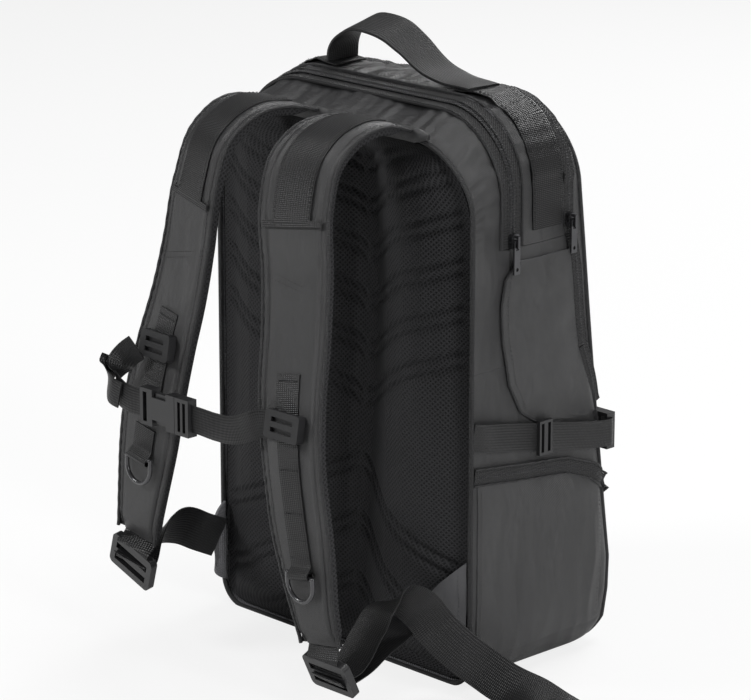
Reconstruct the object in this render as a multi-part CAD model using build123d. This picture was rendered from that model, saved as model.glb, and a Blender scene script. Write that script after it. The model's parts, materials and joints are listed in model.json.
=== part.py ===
from build123d import *
import math
import os

# A racket backpack, in millimetres. +X is the width, +Z is up and the wearer's
# side faces -Y. The origin is the middle of the flat base, on the floor.

os.makedirs("parts", exist_ok=True)

# ---- body -------------------------------------------------------------------
WIDTH = 320.0            # across the two gussets
HEIGHT = 510.0           # floor to the crown of the top gusset
BACK_Y = -85.0           # plane of the back seam
BACK_TOP_Z = 480.0       # height of the back seam at the top
FRONT_TOP_Y = 42.0       # front face at the top
FRONT_FULL_Y = 93.0      # front face where the bag is deepest
FRONT_FULL_Z = 80.0
FRONT_BASE_Y = 64.0      # front edge of the base
SHELL = 4.0              # outer fabric, foam and lining together
TOP_R = 72.0             # outline radii seen from the back
BASE_R = 26.0
FIT = 0.3                # gap between neighbours that don't move
SLIDE_FIT = 0.5          # gap round a piece that moves

# ---- back panel -------------------------------------------------------------
PAD_THICKNESS = 12.0
PAD_CREST_X = 92.0       # the two long pads stand out furthest here
PAD_CREST_Y = -97.0
CHANNEL_Y = -56.0        # bottom of the air channel between the pads
SHEET_THICKNESS = 1.5    # stiffener behind the pads
BOARD_THICKNESS = 3.0    # board on the floor of the main compartment

# ---- mouth and its lid ------------------------------------------------------
ZIP_END_Z = 388.0        # the main zip ends here on both sides
FOLD_LOW_Z = 285.0       # fabric between this height and the zip end folds
ZIP_Y = -40.0            # middle of the main zip's teeth
TAPE_WIDTH = 15.0        # one half of the zip tape
TAPE_THICKNESS = 1.4
COIL_WIDTH = 2.6
COIL_HEIGHT = 2.0
DIVIDER_TOP_Z = 300.0
DIVIDER_Y = 24.0
DIVIDER_THICKNESS = 4.0

# ---- pockets ----------------------------------------------------------------
PANEL_THICKNESS = 2.0
LOW_POCKET_BULGE = 8.0   # how far they stand out from the gusset
LOW_ZIP_FRONT_Z = 147.0  # where the long low zip crosses the front
SLIM_ZIP_WIDTH = 11.0
FRONT_ZIP_Y = 30.0       # zip of the front compartment
FRONT_POCKET_WIDTH = 180.0
FRONT_POCKET_LOW_Z = 160.0
FRONT_POCKET_TOP_Z = 242.0
ACCESS_ZIP_Y = -68.0     # zip on the left side, near the back
ACCESS_ZIP_LOW_Z = 246.0
ACCESS_ZIP_LENGTH = 134.0

# ---- webbing and hardware ---------------------------------------------------
WIDE_WEBBING = 38.0
NARROW_WEBBING = 25.0
WEBBING_THICKNESS = 1.6
HANDLE_HALF_SPAN = 80.0
HANDLE_RISE = 38.0
HANDLE_Y = -8.0
HANDLE_THICKNESS = 3.2   # two layers of webbing
HANDLE_LEAN_X = -22.0    # the slack loop leans to the left
STRAP_WIDTH = 72.0
STRAP_END_WIDTH = 52.0
STRAP_THICKNESS = 14.0
YOKE_DEPTH = 6.7
YOKE_TOP_Z = 488.0
RING_WIRE = 4.0
RING_INNER_WIDTH = 27.0
RING_DROP = 27.0         # from the bar to the bottom of the arc
LOCK_WIDTH = 52.0        # ladder lock
LOCK_LENGTH = 34.0
LOCK_THICKNESS = 7.0
BUCKLE_WIDTH = 33.0      # side-release buckle for the narrow webbing
BUCKLE_THICKNESS = 10.0
SOCKET_LENGTH = 45.0
PLUG_BASE_LENGTH = 18.0
PRONG_LENGTH = 27.0
PRONG_WIDTH = 4.0
BUCKLE_WALL = 2.2
TRIGLIDE_LENGTH = 16.0
TRIGLIDE_HEIGHT = 31.0
ADJUSTER_WIDTH = 40.0    # slider that sets the height of the sternum strap
ADJUSTER_HEIGHT = 24.0
ADJUSTER_THICKNESS = 8.0
PULL_LENGTH = 30.0
PULL_WIDTH = 7.0
PULL_THICKNESS = 1.8
PULL_BAR = 1.5           # cross bar of the pull, held under the slider's bridge
BRIDGE_HALF = 4.2
BRIDGE_WIDTH = 2.4
BRIDGE_RISE = 2.9        # clear height under the bridge
SLIDER_LENGTH = 13.0
SLIDER_WIDTH = 9.0
SLIDER_THICKNESS = 4.5

# ---- routes, each a hand-set list of points ---------------------------------
# outer face of a shoulder strap, from its seam at the yoke to its lower end
STRAP_START_Y = BACK_Y - YOKE_DEPTH - FIT
STRAP_START_Z = 490.4
RIGHT_STRAP = [
    (58, STRAP_START_Y, STRAP_START_Z), (58, -112, 496), (60, -136, 498), (60, -163, 491),
    (61, -187, 473), (64, -202, 436), (73, -210, 380), (82, -221, 325), (90, -233, 280),
    (98, -240, 235), (106, -241, 185), (114, -240, 140), (121, -238, 100), (126, -234, 70),
]
LEFT_STRAP = [
    (-58, STRAP_START_Y, STRAP_START_Z), (-58, -112, 496), (-60, -136, 498), (-60, -163, 491),
    (-61, -187, 473), (-64, -200, 436), (-72, -205, 380), (-79, -212, 330), (-86, -220, 288),
    (-94, -227, 240), (-102, -229, 195), (-110, -229, 155), (-116, -228, 128), (-120, -227, 106),
]
STRAP_TWIST = [0, 4, 9, 12, 13, 12, 9, 6, 3, 0, 0, 0, 0, 0]   # degrees about Z, per point

RIGHT_LOCK_AT = (129, -222, 43)
LEFT_LOCK_AT = (-123, -226, 82)
RIGHT_LOCK_TURN = (25, 0)    # degrees about X, then about Y
LEFT_LOCK_TURN = (10, 24)
# anchored webbing, from the ladder lock to the wing on the back seam
RIGHT_ANCHOR_WEBBING = [(129, -217, 38), (130, -198, 40), (129, -174, 50), (125, -148, 58), (120, -122, 62),
                        (118, -100.6, 62)]
LEFT_ANCHOR_WEBBING = [(-125, -219.3, 84), (-131, -204, 91), (-138, -180, 95), (-146, -150, 92),
                       (-149, -122, 78), (-148, -100.6, 68)]
# free tail, from the right ladder lock over a crest, past the corner of the bag to the floor
RIGHT_TAIL = [
    (129, -216.3, 40.4), (130, -206, 44), (131, -194, 54), (132, -181, 71), (134, -167, 88), (138, -150, 95),
    (147, -134, 84), (158, -124, 66), (172, -112, 48), (190, -99, 32), (212, -90, 20), (236, -80, 13),
    (258, -70, 6.5), (276, -60, 1.8), (292, -48, 1.8),
]
# width direction of the tail at each point: it turns to stand on edge beyond the crest
RIGHT_TAIL_ACROSS = [
    (1, 0, 0), (1, 0, 0), (1, 0, 0), (1, 0, 0.1), (0.95, 0.1, 0.3), (0.75, 0.35, 0.55),
    (0.45, 0.5, 0.72), (0.25, 0.54, 0.8), (0.2, 0.54, 0.82), (0.2, 0.54, 0.82), (0.15, 0.6, 0.75),
    (0, 0.75, 0.55), (-0.2, 0.9, 0.25), (-0.4, 0.9, 0), (-0.5, 0.85, 0),
]
# sternum webbing, from the buckle to the adjuster on each strap
STERNUM_Y = -253.0
STERNUM_Z = 245.0
RIGHT_STERNUM_WEBBING = [(20, -252, 244), (46, -251, 247), (60, -248, 253), (67, -244.5, 256),
                         (73.2, -242, 256)]
LEFT_STERNUM_WEBBING = [(-92, -254, 246), (-108, -252, 251), (-117, -246, 260), (-117, -241, 270),
                        (-112, -237, 278), (-107, -234, 284)]


# ---- helpers ----------------------------------------------------------------
def vec(point):
    return Vector(*point)


def closed_face(points):
    return make_face(Polyline(*points, close=True))


def frames(points, twists):
    """Point, direction across and outward normal at each station of a route."""
    result = []
    last = len(points) - 1
    for i, point in enumerate(points):
        ahead = vec(points[min(i + 1, last)]) - vec(points[max(i - 1, 0)])
        tangent = ahead.normalized()
        turn = math.radians(twists[i])
        across = Vector(math.cos(turn), math.sin(turn), 0)
        across = (across - tangent * across.dot(tangent)).normalized()
        result.append((vec(point), across, tangent.cross(across)))
    return result


def ribbon(stations, widths, thickness, lift=0.0):
    """Strip with its outer face `lift` above the stations, built by straight panels."""
    sections = []
    for (point, across, normal), width in zip(stations, widths):
        outer = point + normal * lift
        inner = outer - normal * thickness
        half = across * (width / 2)
        sections.append(closed_face([outer - half, outer + half, inner + half, inner - half]))
    return loft(sections, ruled=True)


def band(points, across, width, thickness):
    """Strip along a route whose direction across is the same all the way or given per point."""
    last = len(points) - 1
    stations = []
    for i, point in enumerate(points):
        tangent = (vec(points[min(i + 1, last)]) - vec(points[max(i - 1, 0)])).normalized()
        side = vec(across[i] if isinstance(across[0], tuple) else across)
        side = (side - tangent * side.dot(tangent)).normalized()
        stations.append((vec(point), side, tangent.cross(side)))
    return ribbon(stations, [width] * len(points), thickness, thickness / 2)


def outline(half_width, low, high, top_r, base_r):
    """Back view of the bag: a rectangle with its own radius at the top and the base."""
    diagonal = 1 - math.sqrt(0.5)
    edges = [
        Line((-half_width + base_r, low), (half_width - base_r, low)),
        ThreePointArc((half_width - base_r, low), (half_width - base_r * diagonal, low + base_r * diagonal),
                      (half_width, low + base_r)),
        Line((half_width, low + base_r), (half_width, high - top_r)),
        ThreePointArc((half_width, high - top_r), (half_width - top_r * diagonal, high - top_r * diagonal),
                      (half_width - top_r, high)),
        Line((half_width - top_r, high), (-half_width + top_r, high)),
        ThreePointArc((-half_width + top_r, high), (-half_width + top_r * diagonal, high - top_r * diagonal),
                      (-half_width, high - top_r)),
        Line((-half_width, high - top_r), (-half_width, low + base_r)),
        ThreePointArc((-half_width, low + base_r),
                      (-half_width + base_r * diagonal, low + base_r * diagonal),
                      (-half_width + base_r, low)),
    ]
    return make_face(edges)


def side_profile(inset):
    """Side view of the bag: flat back, crowned top, front that leans out towards the base."""
    top_mid = (-12.0, HEIGHT - inset)
    edges = [
        Line((BACK_Y + inset, inset), (BACK_Y + inset, BACK_TOP_Z - inset)),
        ThreePointArc((BACK_Y + inset, BACK_TOP_Z - inset), top_mid,
                      (FRONT_TOP_Y - inset, HEIGHT - 8 - inset)),
        ThreePointArc((FRONT_TOP_Y - inset, HEIGHT - 8 - inset),
                      ((FRONT_TOP_Y + FRONT_FULL_Y) / 2 - 3 - inset, (HEIGHT + FRONT_FULL_Z) / 2),
                      (FRONT_FULL_Y - inset, FRONT_FULL_Z)),
        ThreePointArc((FRONT_FULL_Y - inset, FRONT_FULL_Z), (FRONT_FULL_Y - 6 - inset, 24 + inset),
                      (FRONT_BASE_Y - inset, inset)),
        Line((FRONT_BASE_Y - inset, inset), (BACK_Y + inset, inset)),
    ]
    return make_face(edges)


def bag_solid(inset):
    """The whole bag as one block, shrunk by `inset` on every side."""
    half = WIDTH / 2 - inset
    side = extrude(Plane.YZ * side_profile(inset), amount=half, both=True)
    back = extrude(Plane.XZ * outline(half, inset, HEIGHT - inset, TOP_R - inset, BASE_R - inset),
                   amount=2 * DEPTH_SPAN, both=True)
    return side & back


def block(x0, x1, y0, y1, z0, z1):
    return Pos((x0 + x1) / 2, (y0 + y1) / 2, (z0 + z1) / 2) * Box(x1 - x0, y1 - y0, z1 - z0)


def slab(y0, y1, z0, z1):
    """A block wider than the bag, to cut a length or height out of it."""
    return block(-WIDTH, WIDTH, y0, y1, z0, z1)


def front_y(z):
    """Y of the front face at a height, on the same arc as the side view."""
    low, high = (FRONT_FULL_Y, FRONT_FULL_Z), (FRONT_TOP_Y, HEIGHT - 8)
    mid = ((FRONT_TOP_Y + FRONT_FULL_Y) / 2 - 3, (HEIGHT + FRONT_FULL_Z) / 2)
    centre, radius = circle_through(low, mid, high)
    root = math.sqrt(radius ** 2 - (z - centre[1]) ** 2)
    return centre[0] + (root if centre[0] < mid[0] else -root)


def circle_through(a, b, c):
    """Centre and radius of the circle through three points."""
    ax, ay, bx, by, cx, cy = *a, *b, *c
    d = 2 * (ax * (by - cy) + bx * (cy - ay) + cx * (ay - by))
    sa, sb, sc = ax * ax + ay * ay, bx * bx + by * by, cx * cx + cy * cy
    x = (sa * (by - cy) + sb * (cy - ay) + sc * (ay - by)) / d
    y = (sa * (cx - bx) + sb * (ax - cx) + sc * (bx - ax)) / d
    return (x, y), math.dist((x, y), a)


def save(solid, node):
    export_step(solid, f"parts/{node}.step")


DEPTH_SPAN = FRONT_FULL_Y - BACK_Y
HALF = WIDTH / 2
INNER_HALF = HALF - SHELL

# ---- shell of the bag -------------------------------------------------------
outer = bag_solid(0)
inner = bag_solid(SHELL)
back_opening = block(-INNER_HALF, INNER_HALF, BACK_Y - 1, BACK_Y + SHELL + 1, SHELL, HEIGHT)
shell = outer - inner - (back_opening & extrude(
    Plane.XZ * outline(INNER_HALF, SHELL, BACK_TOP_Z - SHELL, TOP_R - SHELL, BASE_R - SHELL),
    amount=2 * DEPTH_SPAN, both=True))

tub = shell & slab(-DEPTH_SPAN, DEPTH_SPAN, 0, FOLD_LOW_Z)
save(tub, "tub_shell")

rear_tape_y = ZIP_Y - TAPE_WIDTH
front_tape_y = ZIP_Y + TAPE_WIDTH
rear_of_zip = slab(-DEPTH_SPAN, rear_tape_y, FOLD_LOW_Z, HEIGHT)
below_zip = slab(rear_tape_y, ZIP_Y - FIT, FOLD_LOW_Z, ZIP_END_Z)
back_band = shell & (rear_of_zip + below_zip)
save(back_band, "back_band")

fold_band = shell & slab(ZIP_Y + FIT, DEPTH_SPAN, FOLD_LOW_Z + FIT, ZIP_END_Z - FIT)
lid = shell & slab(front_tape_y, DEPTH_SPAN, ZIP_END_Z, HEIGHT)
save(lid, "lid_shell")

# ---- back panel, stiffener, base board and divider --------------------------
pad_edge_x = INNER_HALF - FIT
crest_foot_y = (BACK_Y + PAD_CREST_Y) / 2 - 3
channel_wall_y = (PAD_CREST_Y + CHANNEL_Y) / 2
right_curve = [(PAD_CREST_X / 2, channel_wall_y), (PAD_CREST_X, PAD_CREST_Y),
               (0.82 * pad_edge_x, crest_foot_y), (pad_edge_x, BACK_Y)]
curve = [(-x, y) for x, y in reversed(right_curve)] + [(0, CHANNEL_Y)] + right_curve
pad_section = make_face([
    Spline(*curve),
    Line(curve[-1], (curve[-1][0], curve[-1][1] + PAD_THICKNESS)),
    Spline(*[(x, y + PAD_THICKNESS) for x, y in reversed(curve)]),
    Line((curve[0][0], curve[0][1] + PAD_THICKNESS), curve[0]),
])
pad_outline = outline(pad_edge_x, SHELL + FIT, BACK_TOP_Z - SHELL - FIT, TOP_R - SHELL, BASE_R - SHELL)
pad = extrude(pad_section, amount=HEIGHT) & extrude(Plane.XZ * pad_outline, amount=2 * DEPTH_SPAN, both=True)
save(pad, "back_panel_pad")

sheet_y = CHANNEL_Y + PAD_THICKNESS + FIT
frame_sheet = block(-INNER_HALF + 24, INNER_HALF - 24, sheet_y, sheet_y + SHEET_THICKNESS,
                    SHELL + BOARD_THICKNESS + FIT, BACK_TOP_Z - 46)
save(frame_sheet, "frame_sheet")

board_front = FRONT_BASE_Y - 12
board_half = INNER_HALF - BASE_R
board = block(-board_half, board_half, BACK_Y + 18, board_front, SHELL, SHELL + BOARD_THICKNESS)
board -= block(-PAD_CREST_X, PAD_CREST_X, BACK_Y, sheet_y - FIT, 0, SHELL + 2 * BOARD_THICKNESS)
save(board, "base_board")

divider = block(-INNER_HALF + FIT, INNER_HALF - FIT, DIVIDER_Y, DIVIDER_Y + DIVIDER_THICKNESS,
                SHELL + BASE_R, DIVIDER_TOP_Z)
divider += block(-INNER_HALF + BASE_R, INNER_HALF - BASE_R, DIVIDER_Y, DIVIDER_Y + DIVIDER_THICKNESS,
                 SHELL + BOARD_THICKNESS + FIT, SHELL + BASE_R)
save(divider, "compartment_divider")

# ---- main zip: a tape on the band and a tape on the lid ---------------------
tape_outer, tape_inner = bag_solid(1.0), bag_solid(1.0 + TAPE_THICKNESS)
tape = tape_outer - tape_inner
coil = bag_solid(1.0 - COIL_HEIGHT) - tape_outer
above_end = (ZIP_END_Z + FIT, HEIGHT + COIL_HEIGHT)
rear_tape = tape & slab(rear_tape_y, ZIP_Y - FIT / 2, *above_end)
rear_tape += coil & slab(ZIP_Y - FIT / 2 - COIL_WIDTH, ZIP_Y - FIT / 2, *above_end)
save(rear_tape, "main_zip_rear_tape")
front_tape = tape & slab(ZIP_Y + FIT / 2, front_tape_y, *above_end)
front_tape += coil & slab(ZIP_Y + FIT / 2, ZIP_Y + FIT / 2 + COIL_WIDTH, *above_end)
save(front_tape, "main_zip_front_tape")

# ---- strips laid on the outside of the shell --------------------------------
skin = bag_solid(-WEBBING_THICKNESS) - outer
front_zip_span = (FRONT_ZIP_Y - SLIM_ZIP_WIDTH / 2, FRONT_ZIP_Y + SLIM_ZIP_WIDTH / 2)
save(skin & slab(*front_zip_span, ZIP_END_Z, HEIGHT + 9), "front_zip_lid")

side_band_y = (HANDLE_Y + 12 - WIDE_WEBBING / 2, HANDLE_Y + 12 + WIDE_WEBBING / 2)
side_bands = skin & (block(HANDLE_HALF_SPAN + 12, WIDTH, *side_band_y, ZIP_END_Z + 12, HEIGHT + 9)
                     + block(-WIDTH, -HANDLE_HALF_SPAN - 12, *side_band_y, ZIP_END_Z + 12, HEIGHT + 9))


def sloped_strip(x0, x1, y0, z0, y1, z1, width):
    """Flat strip on a side, from (y0, z0) to (y1, z1)."""
    rise = math.atan2(z1 - z0, y1 - y0)
    dy, dz = -math.sin(rise) * width / 2, math.cos(rise) * width / 2
    face = closed_face([(y0 - dy, z0 - dz), (y1 - dy, z1 - dz), (y1 + dy, z1 + dz), (y0 + dy, z0 + dz)])
    return Pos(x0, 0, 0) * extrude(Plane.YZ * face, amount=x1 - x0)


# front-compartment zip below the lid, in its folding and its fixed stretch
zip_low = (74, 228)
zip_mid = (52, FOLD_LOW_Z)
zip_top = (36, ZIP_END_Z - 6)
lower_zips = Part()
fold_parts = Part() + fold_band
for sign in (1, -1):
    x0 = sign * HALF
    x1 = sign * (HALF + WEBBING_THICKNESS)
    low, high = min(x0, x1), max(x0, x1)
    lower_zips += sloped_strip(low, high, *zip_low, zip_mid[0], zip_mid[1] - 2, SLIM_ZIP_WIDTH)
    fold_parts += sloped_strip(low, high, zip_mid[0], zip_mid[1] + 2, *zip_top, SLIM_ZIP_WIDTH)
save(lower_zips, "front_zip_lower")

# ---- side pockets -----------------------------------------------------------
POCKET_EDGE = [(-34, 376), (-48, 362), (-52, 340), (-50, 306), (-42, 268), (-26, 240), (-4, 226), (24, 221)]
pocket_low_front = (58, 221)
pocket_high_front = (24, 380)
for sign, side in ((1, "right"), (-1, "left")):
    face = closed_face(POCKET_EDGE + [pocket_low_front, pocket_high_front])
    start = HALF if sign > 0 else -HALF - PANEL_THICKNESS
    pocket = Pos(start, 0, 0) * extrude(Plane.YZ * face, amount=PANEL_THICKNESS)
    save(pocket & slab(-DEPTH_SPAN, DEPTH_SPAN, 0, FOLD_LOW_Z), f"side_pocket_{side}")
    fold_parts += pocket & slab(-DEPTH_SPAN, DEPTH_SPAN, FOLD_LOW_Z + FIT, ZIP_END_Z)
save(fold_parts, "fold_band")

# ---- lower side pockets with the long zip over them --------------------------
LOW_ZIP_ROUTE = [(BACK_Y + 2, 193), (30, 180), (66, 167), (86, 150)]    # (y, z) on a side
POUCH_GAP = SLIM_ZIP_WIDTH / 2 + 2
pouch_back, pouch_front = BACK_Y + 6, 74.0
pouch_top = [(max(y, pouch_back), z - POUCH_GAP) for y, z in LOW_ZIP_ROUTE[:-1]]
pouch_top.append((pouch_front, LOW_ZIP_ROUTE[-1][1] - POUCH_GAP))
pouch_face = closed_face([(pouch_back, BASE_R)] + pouch_top + [(pouch_front, BASE_R)])
low_zip = skin & block(-WIDTH, WIDTH, FRONT_TOP_Y, DEPTH_SPAN, LOW_ZIP_FRONT_Z - SLIM_ZIP_WIDTH / 2,
                       LOW_ZIP_FRONT_Z + SLIM_ZIP_WIDTH / 2)
low_zip -= block(-WIDTH, WIDTH, -DEPTH_SPAN, LOW_ZIP_ROUTE[-1][0] + 2, 0, HEIGHT)
for sign, side in ((1, "right"), (-1, "left")):
    wall = HALF * sign
    out = (HALF + LOW_POCKET_BULGE) * sign
    bulge = closed_face([(wall, pouch_back), (out, pouch_back + 34), (out, pouch_front - 34),
                         (wall, pouch_front)])
    pouch = Pos(0, 0, BASE_R) * extrude(bulge, amount=LOW_ZIP_ROUTE[0][1])
    pouch &= extrude(Plane.YZ * pouch_face, amount=WIDTH, both=True)
    save(pouch, f"lower_pocket_{side}")
    x0, x1 = sorted((wall, wall + sign * WEBBING_THICKNESS))
    for start, end in zip(LOW_ZIP_ROUTE, LOW_ZIP_ROUTE[1:]):
        low_zip += sloped_strip(x0, x1, *start, *end, SLIM_ZIP_WIDTH)
save(low_zip, "lower_zip")

# ---- front pocket -----------------------------------------------------------
front_skin = bag_solid(-2 * PANEL_THICKNESS) - outer
in_front = block(-FRONT_POCKET_WIDTH / 2, FRONT_POCKET_WIDTH / 2, FRONT_TOP_Y, DEPTH_SPAN,
                 FRONT_POCKET_LOW_Z, FRONT_POCKET_TOP_Z - 3)
save(front_skin & in_front, "front_pocket")
pocket_zip_z = (FRONT_POCKET_TOP_Z, FRONT_POCKET_TOP_Z + SLIM_ZIP_WIDTH)
save(skin & block(-FRONT_POCKET_WIDTH / 2, FRONT_POCKET_WIDTH / 2, FRONT_TOP_Y, DEPTH_SPAN, *pocket_zip_z),
     "front_pocket_zip")

# ---- zip down the left side, near the back ----------------------------------
access_zip = block(-HALF - WEBBING_THICKNESS, -HALF, ACCESS_ZIP_Y - SLIM_ZIP_WIDTH / 2,
                   ACCESS_ZIP_Y + SLIM_ZIP_WIDTH / 2, ACCESS_ZIP_LOW_Z, ACCESS_ZIP_LOW_Z + ACCESS_ZIP_LENGTH)

# ---- compression straps -----------------------------------------------------
STRAP_REAR = (BACK_Y + 3, 229)
STRAP_FRONT = (70, 200)
TRIGLIDE_Y = -1.0
side_slope = (STRAP_FRONT[1] - STRAP_REAR[1]) / (STRAP_FRONT[0] - STRAP_REAR[0])
strap_x = HALF + PANEL_THICKNESS + FIT
buckle_z = STRAP_REAR[1] + side_slope * (STRAP_FRONT[0] - STRAP_REAR[0]) + 1


def rear_strap_z(y):
    return STRAP_REAR[1] + side_slope * (y - STRAP_REAR[0])


def mirrored(solid, sign):
    return solid if sign > 0 else mirror(solid, about=Plane.YZ)


compression = Part()
triglides = Part()
for sign in (1, -1):
    rear_end = TRIGLIDE_Y + 30
    rear = sloped_strip(strap_x, strap_x + WEBBING_THICKNESS, *STRAP_REAR, rear_end, rear_strap_z(rear_end),
                        NARROW_WEBBING)
    anchor = block(HALF, strap_x, BACK_Y + 1, BACK_Y + 7, STRAP_REAR[1] - 12, STRAP_REAR[1] + 12)
    compression += mirrored(rear + anchor, sign)
    glide = block(strap_x + WEBBING_THICKNESS, strap_x + WEBBING_THICKNESS + 4,
                  TRIGLIDE_Y - TRIGLIDE_LENGTH / 2, TRIGLIDE_Y + TRIGLIDE_LENGTH / 2,
                  -TRIGLIDE_HEIGHT / 2, TRIGLIDE_HEIGHT / 2)
    for slot_y in (TRIGLIDE_Y - 4, TRIGLIDE_Y + 4):
        glide -= block(strap_x, strap_x + 10, slot_y - 1.7, slot_y + 1.7,
                       -NARROW_WEBBING / 2 - 0.6, NARROW_WEBBING / 2 + 0.6)
    triglides += mirrored(Pos(0, 0, rear_strap_z(TRIGLIDE_Y)) * glide, sign)
save(compression, "compression_webbing")
save(triglides, "compression_triglides")


# ---- side-release buckles ---------------------------------------------------
def buckle_socket():
    """Female half: mouth at x = 0, body towards -X, thickness along Y, centred on Z."""
    width, wall = BUCKLE_WIDTH, BUCKLE_WALL
    body = block(-SOCKET_LENGTH, 0, -BUCKLE_THICKNESS / 2, BUCKLE_THICKNESS / 2, -width / 2, width / 2)
    body -= block(-PRONG_LENGTH - 2, 1, -BUCKLE_THICKNESS / 2 + wall, BUCKLE_THICKNESS / 2 - wall,
                  -width / 2 + wall, width / 2 - wall)
    for sign in (1, -1):    # side windows where the prongs are pressed
        body -= block(-PRONG_LENGTH - 2, -11, -BUCKLE_THICKNESS, BUCKLE_THICKNESS,
                      *sorted((sign * (width / 2 - 6.5), sign * width)))
    slot = block(-SOCKET_LENGTH + 4, -SOCKET_LENGTH + 9, -BUCKLE_THICKNESS, BUCKLE_THICKNESS,
                 -NARROW_WEBBING / 2 - 0.7, NARROW_WEBBING / 2 + 0.7)
    return body - slot


def buckle_plug():
    """Male half: base from x = 0 towards +X, two sprung prongs and a guide towards -X."""
    width = BUCKLE_WIDTH
    flat = BUCKLE_THICKNESS / 2 - BUCKLE_WALL - SLIDE_FIT
    base = block(SLIDE_FIT, PLUG_BASE_LENGTH, -BUCKLE_THICKNESS / 2, BUCKLE_THICKNESS / 2,
                 -width / 2, width / 2)
    for slot_x in (6.0, 12.5):
        base -= block(slot_x - 1.8, slot_x + 1.8, -BUCKLE_THICKNESS, BUCKLE_THICKNESS,
                      -NARROW_WEBBING / 2 - 0.7, NARROW_WEBBING / 2 + 0.7)
    plug = base + block(-PRONG_LENGTH, SLIDE_FIT + 1, -flat, flat, -1.6, 1.6)
    edge = width / 2 - BUCKLE_WALL - SLIDE_FIT
    for sign in (1, -1):
        plug += block(-PRONG_LENGTH, SLIDE_FIT + 1, -flat, flat,
                      *sorted((sign * (edge - PRONG_WIDTH), sign * edge)))
    return plug


# ---- compression buckles on the front corners -------------------------------
BUCKLE_MOUTH_X = HALF - 12
buckle_y = front_y(buckle_z) + BUCKLE_THICKNESS / 2 + 3
buckle_place = Pos(BUCKLE_MOUTH_X, buckle_y, buckle_z)
sockets = Part()
plug_far_x = BUCKLE_MOUTH_X + PLUG_BASE_LENGTH
socket_far_x = BUCKLE_MOUTH_X - SOCKET_LENGTH
socket_tail_y = buckle_y - BUCKLE_THICKNESS / 2 - FIT
for sign in (1, -1):
    tail = block(socket_far_x - 8, socket_far_x - FIT, front_y(buckle_z + 14) + FIT, socket_tail_y + 3,
                 buckle_z - NARROW_WEBBING / 2, buckle_z + NARROW_WEBBING / 2)
    tail &= block(-HALF, HALF, front_y(buckle_z - 14), DEPTH_SPAN, 0, HEIGHT)
    sockets += mirrored(buckle_place * buckle_socket() + tail, sign)
save(sockets, "compression_sockets")
for sign, side in ((1, "right"), (-1, "left")):
    save(mirrored(buckle_place * buckle_plug(), sign), f"compression_plug_{side}")
    wrap_y = TRIGLIDE_Y + 30.6
    wrap_x = strap_x + WEBBING_THICKNESS / 2
    wrap = band([(wrap_x, wrap_y, rear_strap_z(wrap_y)), (wrap_x + 2, 58, rear_strap_z(58)),
                 (wrap_x + 5, buckle_y - 6, buckle_z), (plug_far_x + 2.5, buckle_y, buckle_z)],
                (0, 0, 1), NARROW_WEBBING, WEBBING_THICKNESS)
    save(mirrored(wrap, sign), f"compression_wrap_{side}")

# ---- carry handle -----------------------------------------------------------
crown_z = HEIGHT + WEBBING_THICKNESS
handle_points = []
STEPS = 12
for i in range(STEPS + 1):
    t = -1 + 2 * i / STEPS
    x = -t * HANDLE_HALF_SPAN + HANDLE_LEAN_X * (1 - t * t)
    z = crown_z + HANDLE_THICKNESS / 2 + HANDLE_RISE * (1 - t * t) ** 1.5
    handle_points.append((x, HANDLE_Y, z))
handle = band(handle_points, (0, 1, 0), WIDE_WEBBING, HANDLE_THICKNESS)
for sign in (1, -1):
    x0, x1 = sorted((sign * (HANDLE_HALF_SPAN - 2), sign * (HANDLE_HALF_SPAN + 10)))
    foot = block(x0, x1, HANDLE_Y - WIDE_WEBBING / 2, HANDLE_Y + WIDE_WEBBING / 2, HEIGHT - 20,
                 crown_z + HANDLE_THICKNESS)
    handle += foot - bag_solid(0)
save(handle + side_bands, "carry_handle")

# ---- yoke and wings on the back seam ----------------------------------------
yoke = block(-106, 106, BACK_Y - YOKE_DEPTH, BACK_Y - FIT / 2, BACK_TOP_Z - SHELL + FIT + 2, YOKE_TOP_Z)
save(yoke, "strap_yoke")
wings = Part()
for sign, low, tip, high in ((1, 58, (124, 66), 112), (-1, 40, (-146, 66), 96)):
    edge_x = sign * (HALF - 2)
    face = closed_face([(edge_x, low), tip, (edge_x, high)])
    wing = Pos(0, -98.2, 0) * extrude(Plane.XZ * face, amount=WEBBING_THICKNESS)
    seam = block(*sorted((sign * (HALF - SHELL + FIT), sign * (HALF - 1))), -98.2 - WEBBING_THICKNESS,
                 BACK_Y - FIT / 3, low + 4, high - 4)
    wings += wing + seam
save(wings, "strap_wings")


# ---- shoulder straps --------------------------------------------------------
def strap_widths(count):
    """Full width down to the last quarter, where the strap tapers to its lower end."""
    taper = count - 3
    return [STRAP_WIDTH if i < taper else STRAP_WIDTH + (STRAP_END_WIDTH - STRAP_WIDTH) * (i - taper + 1) / 3
            for i in range(count)]


def place_at(stations, z, lift):
    """Plane on the strap at a height: x across, y up the strap, z outwards, `lift` above it."""
    for (p, across, n), (q, _, m) in zip(stations[5:], stations[6:]):
        if q.Z <= z <= p.Z:
            t = (p.Z - z) / (p.Z - q.Z)
            out = (n + (m - n) * t).normalized()
            level = Vector(1, 0, 0)
            return Plane(origin=p + (q - p) * t + out * lift, x_dir=level - out * level.dot(out), z_dir=out)
    raise ValueError("height is off the strap")


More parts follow.
